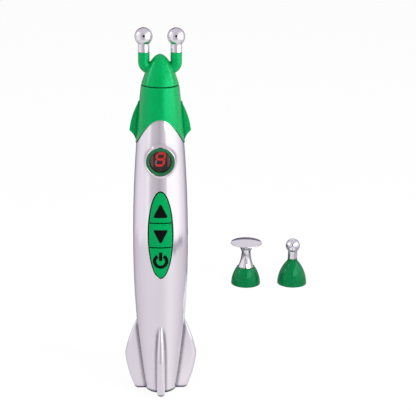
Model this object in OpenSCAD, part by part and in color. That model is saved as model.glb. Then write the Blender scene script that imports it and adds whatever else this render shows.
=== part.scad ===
// Rocket-shaped electronic massage pen with a twin-ball head and two spare heads.
// The pen stands on its tail at the origin: +Z runs up its axis, the window and buttons face -Y.

/* [Body] */
// Largest radius of the body, at its belly
belly_r = 15; // [14:0.5:17]
// Height of the belly above the tail
belly_z = 86; // [80:1:92]
// Radius of the long curve above the belly
upper_bow = 756; // [700:10:1000]
// Radius of the long curve below the belly
lower_bow = 575; // [540:10:800]
// Thickness of the shell wall
wall = 2; // [1.8:0.1:2.2]
// Rounding of the tail's bottom edge
foot_round = 0.8; // [0.4:0.1:1.2]
// Length of the body above the window's centre, up to the seam under the head
head_end = 39; // [37:0.5:41]

/* [Tail fins] */
// Height where a tail fin leaves the body
fin_top_z = 42; // [38:1:46]
// Radius of a tail fin's tip
fin_tip_r = 20.1; // [18:0.5:23]
// Height of a tail fin's tip
fin_tip_z = 21.5; // [18:0.5:25]
// Radius of a tail fin's foot
fin_foot_r = 14.9; // [13.5:0.2:16]
// Swell of a tail fin's upper edge
fin_upper_swell = 0.75; // [0.5:0.05:1.2]
// Swell of a tail fin's lower edge
fin_lower_swell = 0.8; // [0.5:0.05:1.2]
// Thickness of a tail fin, whose edge is fully round
fin_t = 4.4; // [3.4:0.2:5]

/* [Nose collar] */
// How far the collar stands proud of the body
collar_proud = 0.35; // [0.2:0.05:0.6]
// Thickness of the collar's wall
collar_t = 1; // [0.8:0.1:1.2]
// How far the top of the pointed arch lies below the seam
arch_drop = 17.1; // [15:0.1:20]
// Spread of the arch: its half width squared per millimetre of drop
arch_spread = 11.6; // [11:0.1:12.4]
// Thickness of the collar's two swept fins
side_fin_t = 2.4; // [1.8:0.2:3]
// How far a swept fin starts below the seam
side_fin_top_drop = 8.7; // [7:0.1:10]
// Radius of a swept fin's tip
side_fin_tip_r = 16.4; // [15.5:0.2:18]
// How far a swept fin's tip lies below the seam
side_fin_tip_drop = 24.9; // [23:0.1:26]
// How far a swept fin's trailing edge meets the collar below the seam
side_fin_root_drop = 30.3; // [29:0.1:31]

/* [Head fitting] */
// Radius of the spigot that carries a head
seat_r = 5.5; // [5:0.1:6]
// Height of the spigot above the seam
seat_h = 7.7; // [7:0.1:8]
// Open shadow line between collar and head
seam_gap = 0.45; // [0.3:0.05:0.6]
// Radius of the contact stud
stud_r = 1.5; // [1.2:0.1:1.8]
// Wall of the brass sleeve that takes the stud
sleeve_wall = 0.85; // [0.6:0.05:1]

/* [Twin head] */
// Height of the nose above the seam
nose_h = 15.8; // [15:0.2:18]
// Radius of a head at the seam
nose_r = 10; // [9.6:0.1:10.4]
// Distance of each electrode's axis from the pen's axis
arm_x = 8.5; // [8:0.1:9.4]
// Radius of an arm
arm_r = 3.05; // [2.9:0.05:3.15]
// Bend radius of an arm's elbow, on its centre line
elbow_r = 3.2; // [3.2:0.1:4]
// Height of the elbow's centre above the seam
elbow_h = 11.5; // [11.2:0.1:12.4]
// Height of the arms' ends above the seam
neck_low_h = 16.8; // [15.4:0.1:18]
// Radius of a contact ball
ball_r = 4.7; // [4.2:0.1:5.2]
// Height of a contact ball's centre above the seam
ball_h = 25; // [23.5:0.5:28]
// Radius of an electrode's neck
neck_r = 3; // [2.4:0.1:3]

/* [Window] */
// Height of the window's centre above the button field
window_rise = 16.2; // [15:0.1:18]
// How far the window boss stands out of the body
window_proud = 1; // [0.6:0.1:1.4]
// Outer radius of the window ring
ring_r = 7.45; // [7.2:0.05:7.6]
// Radius of the clear opening of the ring
ring_hole_r = 5.85; // [5.5:0.05:6]
// How far the ring stands proud of the boss
ring_proud = 0.2; // [0:0.05:0.4]
// Thickness of the ring's lip over the lens
ring_lip = 0.85; // [0.6:0.05:1]
// Thickness of the window lens
lens_t = 1.3; // [1:0.1:1.3]
// Height of the shown digit
digit_h = 7.8; // [6.6:0.2:8]
// Width of the shown digit
digit_w = 5.4; // [4:0.1:5.6]
// Thickness of one light bar of the digit
bar_t = 1.2; // [0.8:0.1:1.3]
// Slant of the digit in degrees
digit_slant = 9; // [0:1:12]

/* [Buttons] */
// Height of the button field's centre above the board's lower end
pad_rise = 35.7; // [34:0.1:38]
// Length of the elliptical button field
pad_len = 48.8; // [47:0.2:49]
// Width of the elliptical button field
pad_w = 13.5; // [12.5:0.1:13.6]
// Gap around and between the buttons
button_gap = 0.35; // [0.3:0.05:0.5]
// How far the buttons stand proud of the body
button_proud = 0.5; // [0.3:0.1:0.8]
// Travel of a button
button_travel = 0.5; // [0.3:0.1:0.5]
// Width of the marks inlaid in the buttons
mark_size = 7.3; // [6:0.1:7.6]
// Height of the down button, between its two splits
down_button_h = 13.8; // [12:0.1:15]

/* [Circuit] */
// Thickness of the board
board_t = 1.6; // [1:0.2:1.6]
// Width of the board
board_w = 13; // [12:0.2:13.4]
// Height of the board's lower end above the cell's
board_rise = 7.5; // [5:0.5:10]
// Length of the board above the window's centre
board_over = 12.7; // [11:0.1:14]
// Drop of the board's screws below the window
board_screw_drop = 10.8; // [10.4:0.1:12]
// Height of the control chip above the board's lower end
chip_rise = 10; // [8:0.5:14]
// Side of a switch body
switch_w = 6; // [5:0.2:6]
// Height of a switch body on the board
switch_h = 3; // [2.6:0.1:3]
// Width of the display module
display_w = 7.6; // [7:0.1:8.4]
// Height of the display module
display_h = 12.8; // [11:0.1:13.4]

/* [Battery] */
// Radius of the round cell
cell_r = 7.25; // [6.8:0.05:7.25]
// Length of the round cell with its nub
cell_len = 50.5; // [48:0.5:51]
// Height of the cell's lower end above the door opening's
cell_rise = 8; // [7.5:0.5:12]
// Wall of the battery cradle
cradle_wall = 1.1; // [0.9:0.1:1.1]
// Height of the door's lower end above the tail fins
door_rise = 2.5; // [2:0.1:6]
// How far the door reaches above the cradle
door_over = 2; // [1:0.1:3]
// Width of the battery door
door_w = 16.4; // [15.8:0.1:17]
// Thickness of the battery door
door_t = 1.2; // [1:0.1:1.3]
// Gap around the battery door
door_gap = 0.25; // [0.2:0.05:0.4]

/* [Fasteners] */
// Radius of a case screw's shank
screw_r = 0.9; // [0.8:0.05:1]
// Radius of a case screw's head
screw_head_r = 2; // [1.8:0.1:2]
// Height of the two upper case screws above the door
upper_screw_rise = 4.6; // [4:0.1:7]
// Height of the two lower case screws
lower_screw_z = 30; // [26:0.5:34]

/* [Spare heads] */
// Place of the spare disc head beside the pen
disc_place_x = 59.7; // [40:0.1:68]
// Place of the spare ball head beside the pen
ball_place_x = 92; // [84:0.1:120]
// How far the spare heads stand behind the pen
spare_y = 163; // [0:1:180]
// Radius of a spare head's foot
spare_r = 10.1; // [9.8:0.1:10.6]
// Height of the disc head's green base
disc_base_h = 12.5; // [12:0.1:13.2]
// Length of the disc head's brass sleeve that stands in its electrode
disc_sleeve_grip = 1.15; // [0.8:0.05:2]
// Radius of the disc electrode's rim
disc_r = 10.7; // [9:0.1:12]
// Height of the disc electrode's rim
disc_rim_h = 29.9; // [27:0.1:32]
// Height of the ball head's green base
ball_base_h = 18.3; // [17.6:0.1:19]
// Radius of the spare ball
spare_ball_r = 4.85; // [4.4:0.05:5.4]
// Height of the spare ball's centre
spare_ball_h = 27.5; // [26.5:0.5:30]

/* [Hidden] */
$fn = 96;

// Battery door: its corner radius, and the ledge that it lies on inside its outline
door_round = 2.5;
door_ledge = 0.6;

// Clearances: between fixed pieces, of a push fit, and around pieces that move
fit_gap = 0.1;
run_gap = 0.05;
move_gap = 0.3;
// Overshoot of a cut past the face that it opens
over = 1;
// Half width of a block that clears the whole pen
span = 30;

// Heights along the pen, each counted from the piece below it
door_low_z = fin_top_z + door_rise;
cell_z = door_low_z + cell_rise;
cradle_low_z = cell_z - 6.5;
cradle_top_z = cell_z + cell_len + 2.4;
door_top_z = cradle_top_z + door_over;
upper_screw_z = door_top_z + upper_screw_rise;
board_low_z = cell_z + board_rise;
pad_z = board_low_z + pad_rise;
window_z = pad_z + pad_len / 2 + window_rise;
board_top_z = window_z + board_over;
seam_z = window_z + head_end;
upper_split_z = pad_z + down_button_h / 2 + 0.1;
lower_split_z = pad_z - down_button_h / 2 + 0.2;
arch_z = seam_z - arch_drop;
side_fin_top_z = seam_z - side_fin_top_drop;
side_fin_tip_z = seam_z - side_fin_tip_drop;
side_fin_root_z = seam_z - side_fin_root_drop;

// Heights of the pieces at the top of the body
collar_top_z = seam_z - seam_gap;
collar_roof = 1.2;
shell_top_z = collar_top_z - collar_roof - fit_gap;
neck_z = shell_top_z - 8.6;
groove_z = shell_top_z - 5;
groove_h = 2;
groove_r = seat_r + 1.6;
shoulder_r = seat_r + 1.5;
seat_wall = 1.8;
seat_roof = 3;
collar_low_z = side_fin_root_z - 7;

// Depths across the pen: the cell lies behind its axis, the board in front of the cradle
cell_gap = 0.25;
door_room = 0.37;
board_room = 0.4;
cradle_r = cell_r + cell_gap + cradle_wall;
cell_y = body_r(cell_z) - door_t - door_room - cell_r;
board_back = cradle_r - cell_y + board_room;
board_front = board_back + board_t;

// Depths along -Y, measured from the pen's axis
switch_top = board_front + switch_h;
plunger_reach = 0.8;
plunger_tip = switch_top + plunger_reach;
cap_back = plunger_tip + 0.3;
cap_flange = 0.8;
cap_front_seat = cap_back + cap_flange + move_gap;
display_face = body_r(window_z) - wall - 1.33;
display_z = window_z + 0.5;
window_face = body_r(window_z) + window_proud;
lens_ledge = 0.6;
ring_seat = window_face + ring_proud - ring_lip - fit_gap - lens_t - run_gap;

// Inlaid marks: depth, rounding, side gap and places
mark_depth = 0.7;
mark_round = 0.7;
mark_gap = 0.05;
up_mark_z = upper_split_z + 6.7;
down_mark_z = (upper_split_z + lower_split_z) / 2 - 0.5;
power_mark_z = lower_split_z - 7.7;

// Heights of the three switches
up_z = (upper_split_z + pad_z + pad_len / 2) / 2 - 1;
down_z = (upper_split_z + lower_split_z) / 2;
power_z = (lower_split_z + pad_z - pad_len / 2) / 2 + 1;

// Ends of the battery cradle and the tabs through them
end_wall = 1.2;
tab_y = cell_y - 4.2;

// Places of the screws and of the board's fixings
upper_screw_x = board_w / 2 + 2.9;
lower_screw_x = 5.5;
board_screw_x = 4.3;
board_screw_z = window_z - board_screw_drop;
board_screw_r = 0.9;
buzzer_z = board_top_z - 6.6;
pilot_gap = 0.05;

// Heights inside a head, measured from its foot
stud_low = 1.7;
stud_room = 0.6;
socket_h = seat_h + 0.3;
sleeve_low = socket_h + 0.3;
sleeve_r = stud_r + run_gap + sleeve_wall;
sleeve_roof = 0.7;
nose_wall = 1.2;
sleeve_h = nose_h * (1 - pow((sleeve_r + run_gap + nose_wall) / nose_r, 2)) - sleeve_low - run_gap;
disc_sleeve_top = disc_base_h + disc_sleeve_grip;
strip_t = 1;
strip_w = 2.4;
pin_r = 1.5;
pin_end_h = sleeve_low + strip_t;

// Routes of the wires, as points that the wire's middle passes through
wire_r = 0.55;
solder_gap = 0.12;
wire_back = -board_back + solder_gap;
tab_front = tab_y - wire_r - solder_gap;
plus_z = cradle_top_z + 1.2;
minus_z = cradle_low_z - 1.8;
side_x = board_w / 2 - 0.9;
positive_route = [[0, tab_front, plus_z], [0, (tab_front + wire_back) / 2, plus_z + 1.4],
    [0, wire_back + 0.9, plus_z + 2.4], [0, wire_back, plus_z + 2.4]];
turn_y = wire_back + 1.1;
negative_route = [[0, tab_front, minus_z], [side_x / 2, (tab_front + turn_y) / 2, minus_z - 0.2],
    [side_x - 0.4, turn_y + 0.4, minus_z + 0.3], [side_x, turn_y, cradle_low_z + 1],
    [side_x, turn_y, (cradle_low_z + board_low_z) / 2], [side_x, turn_y, board_low_z + 1],
    [side_x, wire_back + 0.8, board_low_z + 4], [side_x, wire_back, board_low_z + 4]];
lead_route = [[0, wire_back, board_top_z - 1.4], [0, wire_back + 1, board_top_z - 1.4],
    [0, wire_back / 4, board_top_z + 1.5], [0, 0, board_top_z + 6], [0, 0, (board_top_z + seam_z) / 2],
    [0, 0, seam_z - 3], [0, 0, seam_z + stud_low - 0.1]];

// Colours
silver = "#D8D4DA";
green = "#0BA35A";
dark_green = "#126B3A";
brass = "#C9A24B";
black = "#1A1A1C";
board_green = "#1F5A3C";

// Radius of the body at a height
function body_r(z) =
    belly_r - pow(z - belly_z, 2) / (2 * (z > belly_z ? upper_bow : lower_bow));

// Points of the body's outline between two heights, moved inwards by an inset
function body_line(z0, z1, inset, steps) =
    [for (i = [0:steps]) let (z = z0 + (z1 - z0) * i / steps) [body_r(z) - inset, z]];

// Radius of a circle through two points that rises by swell above their chord
function bow_radius(a, b, swell) =
    (pow(norm(b - a) / 2, 2) + swell * swell) / (2 * swell);

// Unit normal to the right of the way from a to b
function right_of(a, b) = let (d = (b - a) / norm(b - a)) [d.y, -d.x];

// Centre of the circle through a and b that swells to the right of the way from a to b
function bow_centre(a, b, swell) =
    (a + b) / 2 - right_of(a, b) * (bow_radius(a, b, swell) - swell);

// Points along a shallow bow from a to b that swells to the right of the way
function bow(a, b, swell, steps) =
    [for (i = [0:steps]) let (t = i / steps) a + (b - a) * t + right_of(a, b) * swell * 4 * t * (1 - t)];

// Direction of a vector in degrees
function heading(v) = atan2(v.y, v.x);

// Outline at a distance around corner points listed anticlockwise, round at each corner
function rounded(corners, r, steps) = [
    for (i = [0:len(corners) - 1])
        let (
            here = corners[i],
            from = heading(right_of(corners[(i + len(corners) - 1) % len(corners)], here)),
            turn = (heading(right_of(here, corners[(i + 1) % len(corners)])) - from + 720) % 360)
        for (k = [0:steps]) here + r * [cos(from + turn * k / steps), sin(from + turn * k / steps)]];

// Points of an ellipse
function ellipse(half_w, half_h, steps) =
    [for (i = [0:steps - 1]) [half_w * cos(360 * i / steps), half_h * sin(360 * i / steps)]];

// A point on a smooth curve between b and c, with a and d as their neighbours
function curve_point(a, b, c, d, t) =
    (2 * b + (c - a) * t + (2 * a - 5 * b + 4 * c - d) * t * t + (3 * b - a - 3 * c + d) * t * t * t) / 2;

// A smooth path through a list of points
function smooth_path(p, steps) = [
    for (i = [0:len(p) - 2], k = [0:steps - 1])
        curve_point(p[max(i - 1, 0)], p[i], p[i + 1], p[min(i + 2, len(p) - 1)], k / steps),
    p[len(p) - 1]];

// Solid skin over a list of rings that all have the same number of points
module skin(rings) {
    sides = len(rings[0]);
    last = len(rings) - 1;
    polyhedron(
        points = [for (ring = rings) each ring],
        faces = concat(
            [[for (i = [0:sides - 1]) i]],
            [[for (i = [sides - 1:-1:0]) last * sides + i]],
            [for (j = [0:last - 1], i = [0:sides - 1])
                let (a = j * sides + i, b = j * sides + (i + 1) % sides)
                each [[a, a + sides, b + sides], [a, b + sides, b]]]));
}

// Round wire along a path that never runs along X
module wire(path, radius, sides) {
    last = len(path) - 1;
    skin([for (i = [0:last])
        let (
            way = path[min(i + 1, last)] - path[max(i - 1, 0)],
            side = cross(way, [1, 0, 0]),
            u = side / norm(side),
            v = cross(way, u) / norm(way))
        [for (k = [0:sides - 1]) path[i] + radius * (u * cos(360 * k / sides) + v * sin(360 * k / sides))]]);
}

// Turns a piece so that its own +Z points out of the pen's front, at a height on the pen
module facing_front(z) {
    translate([0, 0, z]) rotate([90, 0, 0]) children();
}

// Turns a piece so that its own +Z points out of the pen's back, at a height on the pen
module facing_rear(z) {
    translate([0, 0, z]) rotate([-90, 0, 0]) children();
}

// Everything on one side of the parting plane: -1 is the front, 1 is the rear
module half_of(side) {
    translate([-span, side < 0 ? -span : 0, -over]) cube([2 * span, span, seam_z + span]);
}

// Solid body without fins
module body_block(grow = 0) {
    rotate_extrude()
        polygon(concat(
            [[0, 0], [body_r(0) - foot_round + grow, 0]],
            body_line(foot_round, belly_z, -grow, 16),
            body_line(belly_z + 5, shell_top_z, -grow, 16),
            [[0, shell_top_z]]));
}

// Space inside the two shells, with the groove that holds the head seat
module body_cavity() {
    bore = seat_r + fit_gap;
    rotate_extrude()
        polygon(concat(
            [[0, wall], [body_r(wall) - wall, wall]],
            body_line(wall + 4, belly_z, wall, 12),
            body_line(belly_z + 6, neck_z, wall, 12),
            [[bore, neck_z + 1], [bore, groove_z], [groove_r, groove_z],
             [groove_r, groove_z + groove_h], [bore, groove_z + groove_h],
             [bore, shell_top_z + over], [0, shell_top_z + over]]));
}

// Disc with a fully round rim, whose axis lies along Y
module round_rim_disc(centre, radius, thick) {
    translate([centre.x, 0, centre.y]) rotate([90, 0, 0]) rotate_extrude($fn = 180)
        intersection() {
            union() {
                translate([0, -thick / 2]) square([radius - thick / 2, thick]);
                translate([radius - thick / 2, 0]) circle(thick / 2, $fn = 48);
            }
            translate([0, -thick]) square([radius + over, 2 * thick]);
        }
}

// One tail fin, standing out along +X
module tail_fin() {
    top = [body_r(fin_top_z), fin_top_z];
    tip = [fin_tip_r, fin_tip_z];
    foot = [fin_foot_r, 0.8];
    intersection() {
        round_rim_disc(bow_centre(tip, top, fin_upper_swell), bow_radius(tip, top, fin_upper_swell), fin_t);
        round_rim_disc(bow_centre(foot, tip, fin_lower_swell), bow_radius(foot, tip, fin_lower_swell), fin_t);
        translate([belly_r / 3, -fin_t, 0]) cube([span, 2 * fin_t, fin_top_z + over]);
    }
}

// The four tail fins
module tail_fins() {
    for (turn = [0:90:270]) rotate([0, 0, turn]) tail_fin();
}

// Block under the pointed arch, through the whole pen
module arch_block(drop = 0) {
    half = belly_r + over;
    steps = 24;
    translate([0, span, 0]) rotate([90, 0, 0]) linear_extrude(2 * span)
        polygon(concat(
            [[half, 0], [-half, 0]],
            [for (i = [0:steps])
                let (x = -half + 2 * half * i / steps)
                [x, arch_z - drop - x * x / arch_spread]]));
}

// Ring of material that the collar takes out of the shells
module collar_rebate() {
    inset = collar_t - collar_proud + fit_gap;
    difference() {
        rotate_extrude()
            polygon(concat(
                body_line(collar_low_z, shell_top_z + over, inset, 10),
                [[span, shell_top_z + over], [span, collar_low_z]]));
        arch_block(fit_gap);
    }
}

// Moulded boss that carries the round window on the curved front
module window_boss() {
    face_r = ring_r + 0.6;
    foot_r = ring_r + 2.4;
    foot_depth = window_face - 5.8;
    facing_front(window_z) rotate_extrude()
        polygon(concat(
            [[0, foot_depth]],
            bow([foot_r, foot_depth], [face_r, window_face - 0.2], -0.35, 8),
            [[face_r - 0.2, window_face], [0, window_face]]));
}

// Opening in the shell for the ring, the lens and the display behind it
module window_opening() {
    facing_front(window_z) {
        translate([0, 0, ring_seat]) cylinder(r = ring_r + run_gap, h = span);
        translate([0, 0, display_face]) cylinder(r = ring_hole_r - lens_ledge, h = span);
    }
}

// Ellipse of the button field, grown on all sides
module pad_outline(grow) {
    polygon(ellipse(pad_w / 2 + grow, pad_len / 2 + grow, 64));
}

// Frame inside the front shell, which gives the button flanges a flat seat
module pad_frame() {
    intersection() {
        facing_front(pad_z)
            translate([0, 0, cap_front_seat]) linear_extrude(3) pad_outline(1.5);
        body_block(-0.5);
    }
}

// Round post from a depth out to the shell wall, at a place on the front
module front_post(x, z, depth, radius) {
    intersection() {
        facing_front(z) translate([x, 0, depth]) cylinder(r = radius, h = span);
        body_block(-0.5);
    }
}

// Round post from the parting plane out to the rear wall
module rear_post(x, z, radius) {
    intersection() {
        facing_rear(z) translate([x, 0, 0]) cylinder(r = radius, h = span);
        body_block(-0.5);
    }
}

// Pillars of the case screws in the front shell
module front_pillars() {
    for (side = [-1, 1]) {
        front_post(side * upper_screw_x, upper_screw_z, 0, 2.3);
        front_post(side * lower_screw_x, lower_screw_z, 0, 2.6);
    }
}

// Pilot holes of the case screws in the front shell
module front_pilots() {
    for (side = [-1, 1]) {
        facing_front(upper_screw_z) translate([side * upper_screw_x, 0, -over])
            cylinder(r = screw_r + pilot_gap, h = 6 + over, $fn = 32);
        facing_front(lower_screw_z) translate([side * lower_screw_x, 0, -over])
            cylinder(r = screw_r + pilot_gap, h = 6 + over, $fn = 32);
    }
}

// Front half of the case: window boss, button opening and the board's fixings
module front_shell() {
    color(silver) difference() {
        intersection() {
            union() {
                difference() {
                    union() {
                        body_block();
                        tail_fins();
                        window_boss();
                    }
                    body_cavity();
                }
                pad_frame();
                front_pillars();
                for (side = [-1, 1]) front_post(side * board_screw_x, board_screw_z, board_front, 2);
                intersection() {
                    translate([-4, -belly_r, board_low_z - 2]) cube([8, belly_r - board_front, 6]);
                    body_block(-0.5);
                }
            }
            half_of(-1);
        }
        collar_rebate();
        window_opening();
        facing_front(pad_z) translate([0, 0, cap_back]) linear_extrude(span) pad_outline(0);
        front_pilots();
        for (side = [-1, 1])
            facing_front(board_screw_z) translate([side * board_screw_x, 0, board_front - over])
                cylinder(r = board_screw_r + pilot_gap, h = 4 + over, $fn = 32);
    }
}

// Rounded rectangle of the battery door, seen from behind
module door_outline(grow) {
    half = door_w / 2 - door_round;
    low = door_low_z + door_round;
    top = door_top_z - door_round;
    polygon(rounded([[-half, low], [half, low], [half, top], [-half, top]], door_round + grow, 6));
}

// Prism over the battery door's outline, from a depth to the outside
module door_prism(grow, depth) {
    translate([0, depth, 0]) mirror([0, 1, 0]) rotate([90, 0, 0]) linear_extrude(span)
        door_outline(grow);
}

// Heads of the case screws sit in wells that are open to the rear
module screw_well(x, z, seat) {
    facing_rear(z) translate([x, 0, 0]) {
        translate([0, 0, -over]) cylinder(r = screw_r + 0.25, h = seat + 2 * over, $fn = 32);
        translate([0, 0, seat]) cylinder(r = screw_head_r + 0.2, h = span, $fn = 48);
    }
}

upper_seat = 6.4;
lower_seat = 5;

// Rear half of the case: battery opening, ledge of the door and screw wells
module rear_shell() {
    color(silver) difference() {
        intersection() {
            union() {
                difference() {
                    union() {
                        body_block();
                        tail_fins();
                    }
                    body_cavity();
                }
                for (side = [-1, 1]) {
                    rear_post(side * upper_screw_x, upper_screw_z, screw_head_r + 1.1);
                    rear_post(side * lower_screw_x, lower_screw_z, screw_head_r + 1.1);
                }
            }
            half_of(1);
        }
        collar_rebate();
        difference() {
            door_prism(door_gap, cell_y);
            body_block(-door_t - fit_gap);
        }
        door_prism(-door_ledge, cell_y);
        for (side = [-1, 1]) {
            screw_well(side * upper_screw_x, upper_screw_z, upper_seat);
            screw_well(side * lower_screw_x, lower_screw_z, lower_seat);
        }
    }
}

// Line that the door swings about: the outer edge of the opening's lower end
hinge_z = door_low_z - door_gap;
hinge_y = body_r(hinge_z);
hook_w = 4;
hook_low_z = hinge_z - 1;
hook_y = sqrt(pow(body_r(hook_low_z) - wall, 2) - pow(hook_w / 2, 2)) - 0.15;
hook_t = 0.8;

// Battery door with a hooked lower end, snap tongues, a thumb notch and grip ridges
module battery_door() {
    link_z = door_low_z + door_ledge + 0.3;
    link_h = 1.2;
    tongue_w = 3;
    color(silver) difference() {
        union() {
            intersection() {
                door_prism(0, cell_y);
                difference() {
                    body_block();
                    body_block(-door_t);
                }
            }
            translate([-hook_w / 2, hook_y - hook_t, hook_low_z])
                cube([hook_w, hook_t, link_z + link_h - hook_low_z]);
            translate([-hook_w / 2, hook_y - hook_t, link_z])
                cube([hook_w, body_r(link_z) - door_t / 2 - hook_y + hook_t, link_h]);
            for (side = [-1, 1])
                translate([side * door_w / 4 - tongue_w / 2, body_r(door_top_z) - wall - 1.4,
                    door_top_z - door_ledge - 0.15 - hook_t])
                    cube([tongue_w, wall + 1.4 - door_t - 0.3, hook_t]);
        }
        for (i = [0:4])
            translate([-4, body_r(door_top_z - 9) - 0.35, door_top_z - 13 + 1.5 * i])
                cube([8, 2, 0.6]);
        translate([0, body_r(door_top_z) + 1.2, door_top_z - 3.4]) rotate([0, 90, 0])
            cylinder(r = 1.9, h = 7, center = true, $fn = 48);
    }
}

// Collar that wraps the top of both shells, with its arches and swept side fins
module nose_collar() {
    inner = collar_t - collar_proud;
    fin_top = [body_r(side_fin_top_z), side_fin_top_z];
    fin_tip = [side_fin_tip_r, side_fin_tip_z];
    fin_swell = 0.95;
    color(green) {
        difference() {
            union() {
                rotate_extrude()
                    polygon(concat(
                        body_line(collar_low_z, collar_top_z - 0.3, -collar_proud, 12),
                        [[body_r(collar_top_z) + collar_proud - 0.3, collar_top_z], [0, collar_top_z],
                         [0, collar_low_z]]));
                for (turn = [0, 180]) rotate([0, 0, turn])
                    intersection() {
                        round_rim_disc(bow_centre(fin_tip, fin_top, fin_swell),
                            bow_radius(fin_tip, fin_top, fin_swell), side_fin_t);
                        translate([0, side_fin_t, 0]) rotate([90, 0, 0]) linear_extrude(2 * side_fin_t)
                            polygon(concat(
                                [[body_r(side_fin_top_z) - 1, side_fin_top_z + 1]],
                                [[body_r(side_fin_root_z) - 1, side_fin_root_z]],
                                bow([body_r(side_fin_root_z) + 0.2, side_fin_root_z],
                                    fin_tip + [0.2, -0.1], -0.5, 6),
                                [[span, side_fin_tip_z + 1], [span, side_fin_top_z + 1]]));
                    }
            }
            rotate_extrude()
                polygon(concat(
                    [[0, collar_low_z - over], [body_r(collar_low_z) - inner, collar_low_z - over]],
                    body_line(collar_low_z, collar_top_z - collar_roof, inner, 12),
                    [[shoulder_r + fit_gap, collar_top_z - collar_roof],
                     [shoulder_r + fit_gap, collar_top_z + over], [0, collar_top_z + over]]));
            arch_block();
        }
    }
}

// Insulating seat in the neck: a flange in the shells' groove and the spigot that heads push onto
module head_seat() {
    spigot_top = seam_z + seat_h;
    hollow_r = seat_r - seat_wall;
    color("#2B2D30") rotate_extrude()
        polygon([
            [hollow_r, neck_z + 1.2], [seat_r, neck_z + 1.2], [seat_r, groove_z + run_gap],
            [groove_r - fit_gap, groove_z + run_gap], [groove_r - fit_gap, groove_z + groove_h - run_gap],
            [seat_r, groove_z + groove_h - run_gap], [seat_r, shell_top_z + run_gap],
            [shoulder_r, shell_top_z + run_gap], [shoulder_r, seam_z], [seat_r, seam_z],
            [seat_r, spigot_top - 0.5], [seat_r - 0.5, spigot_top],
            [stud_r + run_gap, spigot_top], [stud_r + run_gap, spigot_top - seat_roof],
            [hollow_r, spigot_top - seat_roof]]);
}

// Brass contact stud through the top of the seat
module contact_stud() {
    spigot_top = seam_z + seat_h;
    color(brass) {
        translate([0, 0, seam_z + stud_low])
            cylinder(r = stud_r, h = sleeve_low + sleeve_h - sleeve_roof - stud_room - stud_low, $fn = 48);
        translate([0, 0, spigot_top - seat_roof - run_gap - 1.15]) cylinder(r = stud_r + 1.3, h = 1.15, $fn = 48);
    }
}

// Coloured ring around the window, with a lip that holds the lens
module window_ring() {
    lens_seat_r = ring_hole_r + lens_ledge + run_gap;
    top = window_face + ring_proud;
    color(dark_green) facing_front(window_z) rotate_extrude()
        polygon(concat(
            [[ring_r, ring_seat]],
            bow([ring_r, top - 0.35], [ring_hole_r, top - 0.35], 0.35, 8),
            [[ring_hole_r, top - ring_lip], [lens_seat_r, top - ring_lip], [lens_seat_r, ring_seat]]));
}

// Tinted lens, held between the ring's lip and the shell
module window_lens() {
    color("#5A3A34", 0.6) facing_front(window_z) translate([0, 0, ring_seat + run_gap])
        cylinder(r = ring_hole_r + lens_ledge, h = lens_t);
}

// Body of the one-digit display
module display_module() {
    color(black) facing_front(display_z) translate([0, 0, board_front])
        linear_extrude(display_face - board_front)
            square([display_w, display_h], center = true);
}

// A point of the digit, moved sideways by its slant
function slanted(p) = [p.x + p.y * tan(digit_slant), p.y];

// One light bar: centre, whether it stands upright, and its length
module light_bar(centre, upright, length) {
    tip = bar_t / 2;
    half = length / 2 - 0.12;
    flat = [[half, 0], [half - tip, tip], [-half + tip, tip], [-half, 0], [-half + tip, -tip], [half - tip, -tip]];
    polygon([for (p = flat) slanted(centre + (upright ? [p.y, p.x] : p))]);
}

bar_run_w = digit_w - bar_t;
bar_run_h = (digit_h - bar_t) / 2;

// Raises light bars on the face of the display
module on_display() {
    facing_front(display_z) translate([0, 0, display_face]) linear_extrude(0.2) children();
}

// The six light bars that form the shown figure nine
module lit_segments() {
    color("red") on_display() {
        for (row = [-1, 0, 1]) light_bar([0, row * bar_run_h], false, bar_run_w);
        light_bar([bar_run_w / 2, bar_run_h / 2], true, bar_run_h);
        light_bar([-bar_run_w / 2, bar_run_h / 2], true, bar_run_h);
        light_bar([bar_run_w / 2, -bar_run_h / 2], true, bar_run_h);
    }
}

// The light bar that stays off
module dim_segment() {
    color("#8A7A78") on_display() light_bar([-bar_run_w / 2, -bar_run_h / 2], true, bar_run_h);
}

// Printed circuit board with its screw holes
module circuit_board() {
    color(board_green) difference() {
        translate([-board_w / 2, -board_front, board_low_z])
            cube([board_w, board_t, board_top_z - board_low_z]);
        for (side = [-1, 1])
            facing_front(board_screw_z) translate([side * board_screw_x, 0, board_back - over])
                cylinder(r = board_screw_r + 0.15, h = board_t + 2 * over, $fn = 32);
    }
}

// Outline of one button between two heights
module button_outline(low, top, grow) {
    intersection() {
        pad_outline(grow);
        translate([-span, low - pad_z]) square([2 * span, top - low]);
    }
}

// Triangle with rounded corners, pointing up
module triangle_mark(grow) {
    reach = mark_size / 2 - mark_round;
    low = -mark_size / 2 + mark_round;
    tall = mark_size / 2 - mark_round;
    polygon(rounded([[-reach, low], [reach, low], [0, tall]], mark_round + grow, 5));
}

// Power sign: a ring that is open at the top, and a bar
module power_sign(grow) {
    outer = mark_size * 0.55;
    stroke = 1.5;
    bar_w = 1.4;
    difference() {
        circle(outer + grow, $fn = 64);
        circle(outer - stroke - grow, $fn = 64);
        translate([-1.55 + grow, 0]) square([3.1 - 2 * grow, span]);
    }
    translate([-bar_w / 2 - grow, 0.3 - grow]) square([bar_w + 2 * grow, outer + 0.6 + 2 * grow]);
}

// One button cap: domed face with a pocket for its mark, flange behind the shell and a stem
// over its switch
module button_cap(low, top, switch_z, mark_z) {
    color(green) difference() {
        cap_block(low, top, switch_z);
        mark_slab(mark_z, over) children();
    }
}

// Plate under the face of a button, from the mark's floor outwards
module mark_slab(mark_z, reach) {
    facing_front(mark_z) translate([0, 0, body_r(mark_z) + button_proud - mark_depth])
        linear_extrude(mark_depth + reach) children();
}

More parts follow.
